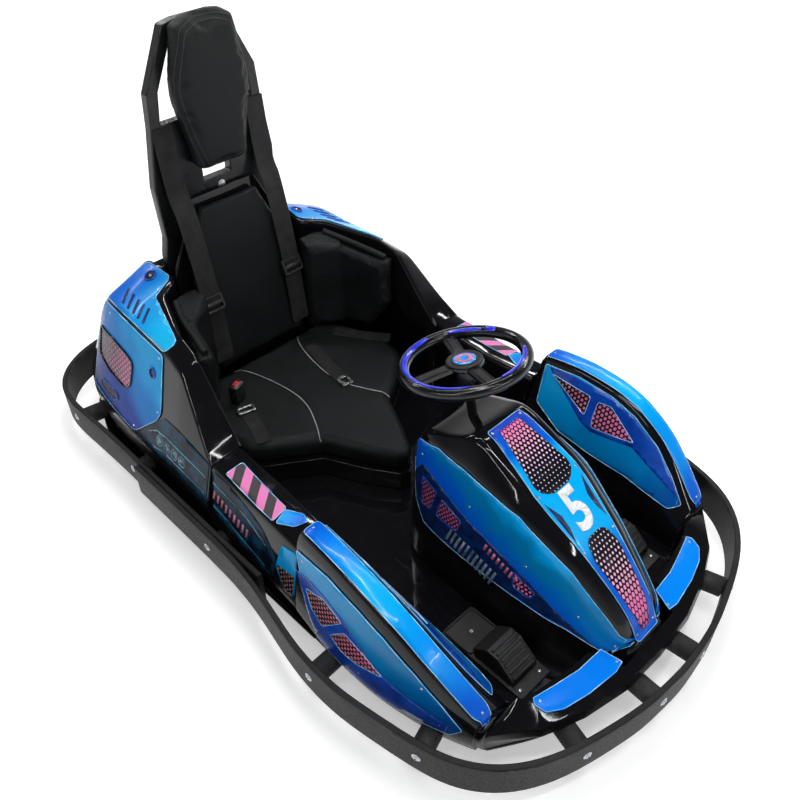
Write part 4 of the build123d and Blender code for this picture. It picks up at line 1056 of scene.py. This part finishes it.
# start x, start y, end x, end y of each rubber post on the left
MOUNTS = mm([
    (840, 70, 952, 78), (800, 255, 915, 288), (640, 430, 672, 540), (380, 470, 384, 572),
    (-60, 440, -60, 500), (-420, 440, -420, 500), (-700, 420, -714, 506), (-820, 130, -950, 150),
])
MOUNT_Z = 0.100
POST_R = 0.019
BOLT_RISE = Vector((0, 0, 0.012))
post_points = [v.co.copy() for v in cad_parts["bumper_mounts"].data.vertices]
band_faces = face_of("bumper_front_band", "bumper_rear_band")
sleeves, bolts = [], []
for side in (1, -1):
    for x0, y0, x1, y1 in MOUNTS:
        start = Vector((x0, side * y0, MOUNT_Z))
        reach = Vector((x1, side * y1, MOUNT_Z)) - start
        axis = reach.normalized()
        runs = []
        for away in (p - start for p in post_points):
            run = away.dot(axis)
            if (away - axis * run).length < POST_R and -0.01 < run < reach.length + 0.03:
                runs.append(run)
        sleeves.append((start + axis * (min(runs) + 0.004), axis, max(runs) - min(runs) - 0.006))
        beyond = start + axis * (max(runs) + 0.1) + BOLT_RISE
        hit, normal, _, _ = band_faces.ray_cast(beyond, -axis)
        if hit:
            bolts.append((hit, normal if normal.dot(axis) > 0 else -normal, 0.0))
spun("mount_sleeves", sleeves, [(0.0170, 0, 0), (0.0235, 0, 0.0015), (0.0250, 0, 0.004),
                                (0.0250, 1, -0.004), (0.0235, 1, -0.0015), (0.0170, 1, 0)],
     slick_rubber)
spun("band_washers", bolts, [(0.0105, 0, -0.001), (0.0105, 0, 0.0010), (0.0098, 0, 0.0016),
                             (0.0070, 0, 0.0017)], rivet_steel)
spun("band_bolts", bolts, [(0.0062, 0, 0.0012), (0.0062, 0, 0.0030), (0.0050, 0, 0.0042),
                           (0.0030, 0, 0.0046)], rivet_steel)
spun("band_bolt_sockets", bolts, [(0.0028, 0, 0.0040), (0.0028, 0, 0.0048)], slick_rubber,
     count=6)

# Seat: a gloss black pan and leaning panel, with a foam seat cushion, a back pad and two upright
# side pads on each side, all upholstered in matte black vinyl leather with sewn seams.
seat_leather = material("seat_leather", gleam=0.22,
                        ink=(12, 4, 0.42, 0.72, (0.0038, 0.0046, 0.0050),
                             (0.00646, 0.00782, 0.0085)))
tree = seat_leather.node_tree
shader = tree.nodes["Principled BSDF"]
tree.links.new(ranged(tree, spots(tree, 12, 4), 0.35, 0.7, 0.38, 0.56), shader.inputs["Roughness"])
grain = [("Vector", shade(tree, "TexCoord").outputs["Object"]), ("Scale", 420.0)]
cells = shade(tree, "TexVoronoi", grain, feature="DISTANCE_TO_EDGE").outputs["Distance"]
crease = ranged(tree, cells, 0.0, 0.12, 0, 1)
raised(tree, shader, [crease, times(tree, spots(tree, 60, 3), 1.6)], 0.0006, 0.55)
stitch = material("stitch_thread", 0.6,
                  ink=(900, 2, 0.4, 0.6, (0.012, 0.012, 0.012), (0.05, 0.05, 0.052)))
piping_grey = material("piping_grey", 0.5,
                       ink=(900, 2, 0.4, 0.6, (0.22, 0.23, 0.24), (0.5, 0.52, 0.54)))
dressed("seat_shell", shell_black, 0.006, parts=3)
SMOOTH_STEPS = 6
CLOTH_STEPS = 20


def swelled(name, node, smaller, cap, limit, voxel=0.006):
    # padded foam in its cover: a slightly smaller copy of the solid, remeshed, then blown up as
    # cloth; no point moves further than the cap, and limit(point) keeps it off its neighbours
    shaped = bmesh.new()
    shaped.from_mesh(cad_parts[node].data)
    bmesh.ops.remove_doubles(shaped, verts=shaped.verts, dist=WELD)
    for i in range(3):
        low = min(v.co[i] for v in shaped.verts)
        high = max(v.co[i] for v in shaped.verts)
        mid, half = (low + high) / 2, (high - low) / 2
        for vert in shaped.verts:
            vert.co[i] = mid + (vert.co[i] - mid) * (half - smaller) / half
    data = bpy.data.meshes.new(name)
    shaped.to_mesh(data)
    shaped.free()
    made = linked(name, data)
    modified(made, "REMESH", "mesher", mode="VOXEL", voxel_size=voxel)
    made.data = bpy.data.meshes.new_from_object(resolved(made))
    made.modifiers.clear()
    eased = bmesh.new()
    eased.from_mesh(made.data)
    for k in range(SMOOTH_STEPS):
        bmesh.ops.smooth_vert(eased, verts=eased.verts, factor=0.5, use_axis_x=True,
                              use_axis_y=True, use_axis_z=True)
    eased.to_mesh(made.data)
    eased.free()
    before = [v.co.copy() for v in made.data.vertices]
    cloth = made.modifiers.new("cloth", "CLOTH").settings
    cloth.quality = 5
    cloth.use_pressure = True
    cloth.uniform_pressure_force = 4.0
    cloth.effector_weights.gravity = 0
    for step in range(CLOTH_STEPS):
        bpy.context.scene.frame_set(1 + step)
    moved = [v.co.copy() for v in resolved(made).to_mesh().vertices]
    made.modifiers.clear()
    bpy.context.scene.frame_set(1)
    for vert, start, end in zip(made.data.vertices, before, moved):
        shift = end - start
        vert.co = start + shift * min(1.0, cap / max(shift.length, 1e-9))
    for vert in made.data.vertices:
        vert.co = limit(vert.co)
    modified(made, "SUBSURF", "finer", levels=1, render_levels=1)
    smoothed(made.data)
    placed(made, "chassis", seat_leather)
    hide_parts(node)
    return made


def sunk(piece, line, wide, deep, way):
    # a sewn channel: presses the foam's face in along a line
    for vert in piece.data.vertices:
        gaps = []
        for a, b in zip(line, line[1:]):
            share = (vert.co - a).dot(b - a) / (b - a).length_squared
            gaps.append(((vert.co - a) - (b - a) * max(0.0, min(1.0, share))).length)
        if min(gaps) < wide:
            vert.co = vert.co + Vector(way) * deep * (1 - min(gaps) / wide) ** 2


# the spaces of the cushion, of the back pad at its foot and at its top, and of the headrest
PAN_TOP = 0.1385
LAP_UNDER = 0.2052
PAD_LOW_Z, PAD_HIGH_Z = 0.2056, 0.690
PANEL_LOW_X, PANEL_HIGH_X = -0.5151, -0.5737
STRAP_LOW_X, STRAP_HIGH_X = -0.470, -0.548
PAD_FOOT = 0.2062
FRAME_FACE = -0.5868


def on_pan(co):
    # between the seat pan and the lap straps
    return Vector((co.x, co.y, min(max(co.z, PAN_TOP), LAP_UNDER)))


def off_panel(co):
    # between the leaning back panel's face and the straps that lie on the pad
    up = (co.z - PAD_LOW_Z) / (PAD_HIGH_Z - PAD_LOW_Z)
    face_x = PANEL_LOW_X + up * (PANEL_HIGH_X - PANEL_LOW_X)
    front_x = STRAP_LOW_X + up * (STRAP_HIGH_X - STRAP_LOW_X)
    return Vector((min(max(co.x, face_x), front_x), co.y, max(co.z, PAD_FOOT)))


def before_frame(co):
    # off the back frame's front face
    return Vector((max(co.x, FRAME_FACE), co.y, co.z))


cushion = swelled("seat_cushion_foam", "seat_cushion", 0.006, 0.012, on_pan)
SEAM = mm([(-507, -152), (-433, -95), (-301, -64), (-209, -67), (-129, -100), (-64, -138)])
cushion_top = surface_of(cushion)
for hand, side in (("right", -1), ("left", 1)):
    seam = curved([(x, -side * y, 0) for x, y in SEAM])
    seam = [touch(cushion_top, p.x, p.y, DOWN, 0.0003)[0] for p in seam]
    sunk(cushion, seam, 0.010, 0.003, (0, 0, -1))
    beads("cushion_piping_" + hand, [[p - Vector((0, 0, 0.0022)) for p in seam]], 0.0012,
          piping_grey)
swelled("back_pad_foam", "back_pad", 0.004, 0.010, off_panel)
swelled("side_pad_foam", "seat_side_pads", 0.004, 0.008, lambda co: co, voxel=0.005)

# a rolled leather trim runs along the rear pods' inner rim
TRIM = mm([(-475, 251, 504), (-418, 273, 494), (-330, 293, 487), (-275, 306, 480)])
for hand, side in (("left", 1), ("right", -1)):
    beads("seat_trim_" + hand, [curved([(x, side * y, z) for x, y, z in TRIM], 5)], 0.009,
          seat_leather)

# Back frame and headrest: a flat steel frame behind the seat, powder coated black, with a padded
# headrest of stitched leather screwed to it.
dressed("back_frame", powder_black, 0.004, parts=3)
spun("frame_screw", [(Vector((FRAME_FACE, 0.008, 0.702)), Vector((1, 0, 0)), 0)],
     [(0.011, 0, 0), (0.011, 0, 0.0012), (0.0085, 0, 0.0016), (0.0075, 0, 0.0040),
      (0.0045, 0, 0.0046), (0.0040, 0, 0.0030)], rivet_steel)
head = swelled("headrest_foam", "headrest", 0.004, 0.008, before_frame, voxel=0.005)
head_top = surface_of(head)
HEAD_MID = 0.957
HEAD_REACH = 0.19
STITCH_STEP = 0.004
# z, y of its right half, from the top down
HEAD_HALF = mm([
    (1150, 50), (1136, 84), (1086, 98), (1030, 113), (975, 118), (936, 113), (840, 92), (776, 76),
    (768, 60),
])
for name, in_by in (("outer", 0.013), ("inner", 0.022)):
    shrink = 1 - in_by / HEAD_REACH
    half = [(y - in_by, HEAD_MID + (z - HEAD_MID) * shrink) for z, y in HEAD_HALF]
    loop = rounded_outline(half + [(-y, z) for y, z in half[::-1]], 0.012)
    line = []
    for (y0, z0), (y1, z1) in zip(loop, loop[1:] + loop[:1]):
        count = max(1, int(((y1 - y0) ** 2 + (z1 - z0) ** 2) ** 0.5 / STITCH_STEP))
        for k in range(count):
            y, z = y0 + (y1 - y0) * k / count, z0 + (z1 - z0) * k / count
            hit, normal, _, _ = head_top.ray_cast(Vector((1.0, y, z)), Vector((-1, 0, 0)))
            if hit:
                line.append(hit + normal * 0.0002)
    beads("headrest_stitch_" + name, [line], 0.0008, stitch, cyclic=True)
    if name == "outer":
        sunk(head, line[::2] + [line[0]], 0.008, 0.0025, (-1, 0, 0))

# Harness: wide black polyester webbing from the back frame's shoulders and across the lap. Each
# shoulder strap runs through a steel slider; the press-button latch stands at the right hip.
webbing = material("webbing", 0.62, gleam=0.3,
                   ink=(30, 3, 0.35, 0.7, (0.008, 0.008, 0.009), (0.02, 0.02, 0.021)))
tree = webbing.node_tree
where = shade(tree, "TexCoord").outputs["Object"]
threads = [shade(tree, "TexWave", [("Vector", where), ("Scale", scale), ("Distortion", 0.4)],
                 bands_direction=way).outputs[0] for scale, way in ((320.0, "Z"), (260.0, "Y"))]
raised(tree, tree.nodes["Principled BSDF"], threads, 0.0005, 0.6)
slider_steel = material("slider_steel", color=(0.03, 0.03, 0.032), wear=(90, 4, 0.22, 0.42),
                        relief=(0.0003, 1.0, (500, 2, 1)), metallic=0.6)
buckle_plastic = material("buckle_plastic", color=(0.010, 0.010, 0.010), wear=(90, 4, 0.24, 0.45),
                          relief=(0.0004, 1.0, (500, 2, 1)), coat=0.1)
button_red = material("button_red", 0.3, coat=0.3,
                      ink=(150, 3, 0.35, 0.65, (0.42, 0.02, 0.025), (0.6, 0.05, 0.05)))
clip_steel = material("clip_steel", color=(0.5, 0.52, 0.52), wear=(60, 4, 0.16, 0.4), metallic=1.0)


def belt(name, node, middles, across, wide, thick):
    # flat webbing with raised, rounded selvedges along a smooth line; across is its width's way
    points = curved(middles, 7)
    lanes = (-1, -0.93, -0.8, 0, 0.8, 0.93, 1)
    rises = (0.45, 0.95, 0.75, 0.8, 0.75, 0.95, 0.45)
    verts = []
    for i, at in enumerate(points):
        run = (points[min(i + 1, len(points) - 1)] - points[max(i - 1, 0)]).normalized()
        way = (across - run * across.dot(run)).normalized()
        out = way.cross(run) * thick
        verts += [at + way * lane * wide / 2 + out * rise for lane, rise in zip(lanes, rises)]
        verts += [at + way * lane * wide / 2 - out * 0.1 * rise
                  for lane, rise in zip(lanes[::-1], rises)]
    count = 2 * len(lanes)
    made = piece_from(name, verts, banded(len(points), count) + capped(verts, count))
    outward(made, 50)
    placed(made, "chassis", webbing)
    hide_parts(node)


def squared(middle, ways, wide, tall, corner):
    # a rounded rectangle's points about a middle
    outline = rounded_outline([(-wide, -tall), (wide, -tall), (wide, tall), (-wide, tall)], corner)
    return [middle + ways[0] * a + ways[1] * b for a, b in outline]


def faced(right_way, up_way):
    # a block's own directions: right, up and out
    right_way, up_way = Vector(right_way).normalized(), Vector(up_way).normalized()
    return right_way, up_way, right_way.cross(up_way)


def hoop(name, middle, ways, wide, tall, thick, deep, look, corner):
    # a flat buckle frame: a rounded rectangle ring of even thickness
    verts = []
    for grow, level in ((0, -0.5), (0, 0.5), (-thick, 0.5), (-thick, -0.5)):
        verts += squared(Vector(middle) + ways[2] * deep * level, ways, wide / 2 + grow,
                         tall / 2 + grow, max(0.001, corner + grow * 0.6))
    count = len(verts) // 4
    faces = banded(4, count)
    for k in range(count):
        n = (k + 1) % count
        faces.append((3 * count + k, 3 * count + n, n, k))
    made = piece_from(name, verts, faces)
    outward(made, 50)
    modified(made, "BEVEL", "ease", width=min(thick, deep) * 0.22, segments=2, limit_method="ANGLE",
             angle_limit=radians(50))
    return placed(made, "chassis", look)


def brick(name, middle, ways, wide, tall, deep, look, corner, edge, crown=0.0):
    # a moulded block with rounded corners and eased rims; crown lifts its face
    verts = []
    middle = Vector(middle)
    levels = ((0.0, -edge), (edge / deep, 0), (1 - 2 * edge / deep, 0),
              (1 - 0.6 * edge / deep, -0.35 * edge), (1.0, -1.4 * edge))
    for share, grow in levels:
        verts += squared(middle + ways[2] * deep * (share - 0.5), ways, wide / 2 + grow,
                         tall / 2 + grow, corner)
    count = len(verts) // len(levels)
    verts.append(middle + ways[2] * (deep * 0.5 + crown))
    faces = banded(len(levels), count) + fanned(verts, count) + [tuple(range(count))[::-1]]
    made = piece_from(name, verts, faces)
    outward(made, 60)
    return placed(made, "chassis", look)


# the shoulder straps' path: x and z down the leaning back
STRAP = mm([(-584.5, 900), (-565, 742), (-543.5, 690), (-520, 600), (-494.5, 470), (-486.5, 410),
            (-476, 310), (-468.5, 252)])
strap_ways = faced((0, 1, 0), (-0.0255, 0, 0.060))
for hand, lane in (("left", 0.138), ("right", -0.138)):
    belt("shoulder_strap_" + hand, "shoulder_straps", [(x, lane, z) for x, z in STRAP],
         Vector((0, 1, 0)), 0.057, 0.0022)
    slider = hoop("slider_frame_" + hand, (-0.4885, lane, 0.436), strap_ways, 0.066, 0.046, 0.0065,
                  0.010, slider_steel, 0.006)
    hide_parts("harness_buckles")
    brick("slider_bar_" + hand, (-0.4855, lane, 0.436), strap_ways, 0.055, 0.012, 0.008,
          slider_steel, 0.003, 0.0015)

LAP_Z = 0.2066
for name, line, way in (
    ("lap_strap_far", [(-0.256, 0.304, 0.2068), (-0.320, 0.258, LAP_Z), (-0.402, 0.207, LAP_Z)],
     (0.55, 0.84, 0)),
    ("lap_strap_mid", [(-0.400, 0.110, LAP_Z), (-0.330, 0.094, LAP_Z), (-0.212, 0.072, LAP_Z)],
     (0.18, 0.98, 0)),
    ("lap_strap_near", [(-0.324, -0.196, LAP_Z), (-0.250, -0.216, LAP_Z), (-0.168, -0.241, LAP_Z)],
     (0.26, 0.96, 0)),
):
    belt(name, "lap_straps", line, Vector(way), 0.040, 0.002)
latch = brick("latch_body", (-0.352, -0.190, 0.2352), faced((0.35, -0.94, 0), (0, 0, 1)), 0.042,
              0.059, 0.030, buckle_plastic, 0.008, 0.004, crown=0.001)
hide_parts("harness_buckles")
brick("latch_button", (-0.352, -0.190, 0.2635), faced((0.35, -0.94, 0), (0.94, 0.35, 0)), 0.022,
      0.016, 0.005, button_red, 0.003, 0.001, crown=0.0008)
hoop("tongue_plate", (-0.202, 0.070, 0.2108), faced((0.98, -0.18, 0), (0.18, 0.98, 0)), 0.040,
     0.036, 0.008, 0.0040, clip_steel, 0.007)
hoop("lap_clip", (-0.300, -0.203, 0.2115), faced((0.96, -0.26, 0), (0.26, 0.96, 0)), 0.026, 0.050,
     0.006, 0.005, clip_steel, 0.004)

# Pedals: a folded steel foot plate screwed to the footwell floor, with a raised rubber block whose
# ribs run across it.
pedal_rubber = material("pedal_rubber", color=(0.012, 0.012, 0.012), wear=(90, 4, 0.42, 0.65),
                        relief=(0.0008, 1.0, (260, 3, 1)))
PEDAL_RIM = mm([(503, 175), (583, 175), (583, 269), (503, 269)])
PEDAL_SCREWS = mm([(545, 222), (716, 190), (716, 256)])
pedal_ribs = bars(6, (630, 186), (12.5, 0), [(0, 0), (6, 0), (6, 72), (0, 72)])
for hand, side in (("left", 1), ("right", -1)):
    dressed("pedal_" + hand, pedal_rubber, 0.003, parts=3)
    foot = face_of("pedal_" + hand)
    laid("pedal_ribs_" + hand, [sided(rib, side) for rib in pedal_ribs], foot, DOWN, pedal_rubber,
         lift=0.0, thick=0.004, step=0.006)
    edged("pedal_rim_" + hand, softened([sided(PEDAL_RIM, side)], 0.01), foot, DOWN, pedal_rubber,
          lift=0.002, radius=0.003)
    studs("pedal_screws_" + hand, sided(PEDAL_SCREWS, side), foot, DOWN, 0.0045, 0.0018, 0)

# Steering: a gloss-skinned wheel on three plate spokes, with blue inlays let into its rim and a
# plain round badge on its hub, on a steel column that turns in the console's support.
WHEEL_TILT = radians(14)
WHEEL_AT = Vector((0.290, 0, 0.605))
WHEEL_AHEAD = Vector((cos(WHEEL_TILT), 0, sin(WHEEL_TILT)))
WHEEL_LEFT = Vector((0, 1, 0))
WHEEL_UP = Vector((-sin(WHEEL_TILT), 0, cos(WHEEL_TILT)))
RING_R = 0.136
RING_THICK = 0.014
SPOKES = (-20, 150, 252)
wheel_skin = material("wheel_skin", color=(0.004, 0.004, 0.0045), wear=(60, 4, 0.08, 0.2),
                      relief=(0.0003, 0.5, (500, 3, 1)), coat=0.15, gleam=0.4)
wheel_plate = material("wheel_plate", color=(0.008, 0.008, 0.0085), wear=(80, 4, 0.32, 0.55),
                       relief=(0.0006, 0.6, (300, 3, 1)), gleam=0.35)
inlay_blue = material("inlay_blue", 0.18, coat=0.4,
                      ink=(40, 3, 0.35, 0.65, (0.006, 0.014, 0.5), (0.015, 0.035, 0.78)))
badge_blue = material("badge_blue", 0.18, coat=0.4,
                      ink=(70, 2, 0.35, 0.65, (0.0, 0.16, 0.7), (0.01, 0.36, 0.85)))


def on_wheel(radius, turn, rise):
    # a point in the wheel's own round coordinates, in metres and degrees
    out = WHEEL_AHEAD * cos(radians(turn)) + WHEEL_LEFT * sin(radians(turn))
    return WHEEL_AT + out * radius + WHEEL_UP * rise


def on_ring(turn, around, lift):
    # a point on the wheel's rim; around runs from its outer side over the top
    out, around = RING_THICK + lift, radians(around)
    return on_wheel(RING_R + out * cos(around), turn, out * sin(around))


dressed("steering_wheel", wheel_skin, 0.0015, angle=35)
dressed("steering_column", powder_black, 0.001)
# start and end about the wheel, middle and half width around the rim, in degrees
INLAYS = ((172, 318, 112, 24), (99, 110, 118, 36), (114, 150, 132, 16), (-12, 48, 112, 24))
for number, (start, end, middle, half) in enumerate(INLAYS, 1):
    verts = []
    count = max(4, int((end - start) / 3))
    for i in range(count + 1):
        wide = half * min(1.0, 0.55 + 0.15 * min(i, count - i))
        for share in (j / 4 - 1 for j in range(9)):
            verts.append(on_ring(start + (end - start) * i / count, middle + wide * share,
                                 0.0009 - 0.0008 * abs(share) ** 4))
    inlay = piece_from("wheel_inlay_" + str(number), verts, banded(count + 1, 9, closed=False))
    modified(inlay, "SOLIDIFY", "skin", thickness=0.0012, offset=0)
    placed(inlay, "steering", inlay_blue)

# radius and rise of each ring
for name, look, rings in (
    ("wheel_boss", wheel_plate, [(0.0405, 0.0025), (0.0405, 0.0048), (0.0390, 0.0060),
                                 (0.0350, 0.0064), (0.0335, 0.0052), (0.0300, 0.0052),
                                 (0.0290, 0.0064), (0.0275, 0.0070), (0.0262, 0.0066)]),
    ("wheel_badge", badge_blue, [(0.0255, 0.0050), (0.0255, 0.0070), (0.0245, 0.0078),
                                 (0.0120, 0.0084), (0.0010, 0.0086)]),
    ("wheel_badge_ring", rib_pink, [(0.0190, 0.0076), (0.0190, 0.0088), (0.0150, 0.0092),
                                    (0.0110, 0.0092), (0.0110, 0.0080)]),
):
    spun(name, [(WHEEL_AT, WHEEL_UP, 0)], [(radius, 0, rise) for radius, rise in rings], look,
         "steering", 48)
for turn in SPOKES:
    way = (on_wheel(1, turn, 0) - WHEEL_AT).normalized()
    side_way = WHEEL_UP.cross(way)
    verts = []
    # distance along the spoke, half width, rise
    for far, half, rise in ((0.044, 0.0125, 0), (0.048, 0.0110, 0.0022), (0.070, 0.0085, 0.0026),
                            (0.106, 0.0085, 0.0026), (0.116, 0.0110, 0.0020), (0.119, 0.0125, 0)):
        for share, up in ((-1, -0.0004), (-0.85, rise), (0.85, rise), (1, -0.0004)):
            verts.append(WHEEL_AT + way * far + side_way * half * share + WHEEL_UP * up)
    faces = banded(6, 4) + capped(verts, 4)
    rail = piece_from("wheel_spoke_cover_" + str(turn % 360), verts, faces)
    outward(rail, 40)
    placed(rail, "steering", wheel_plate)
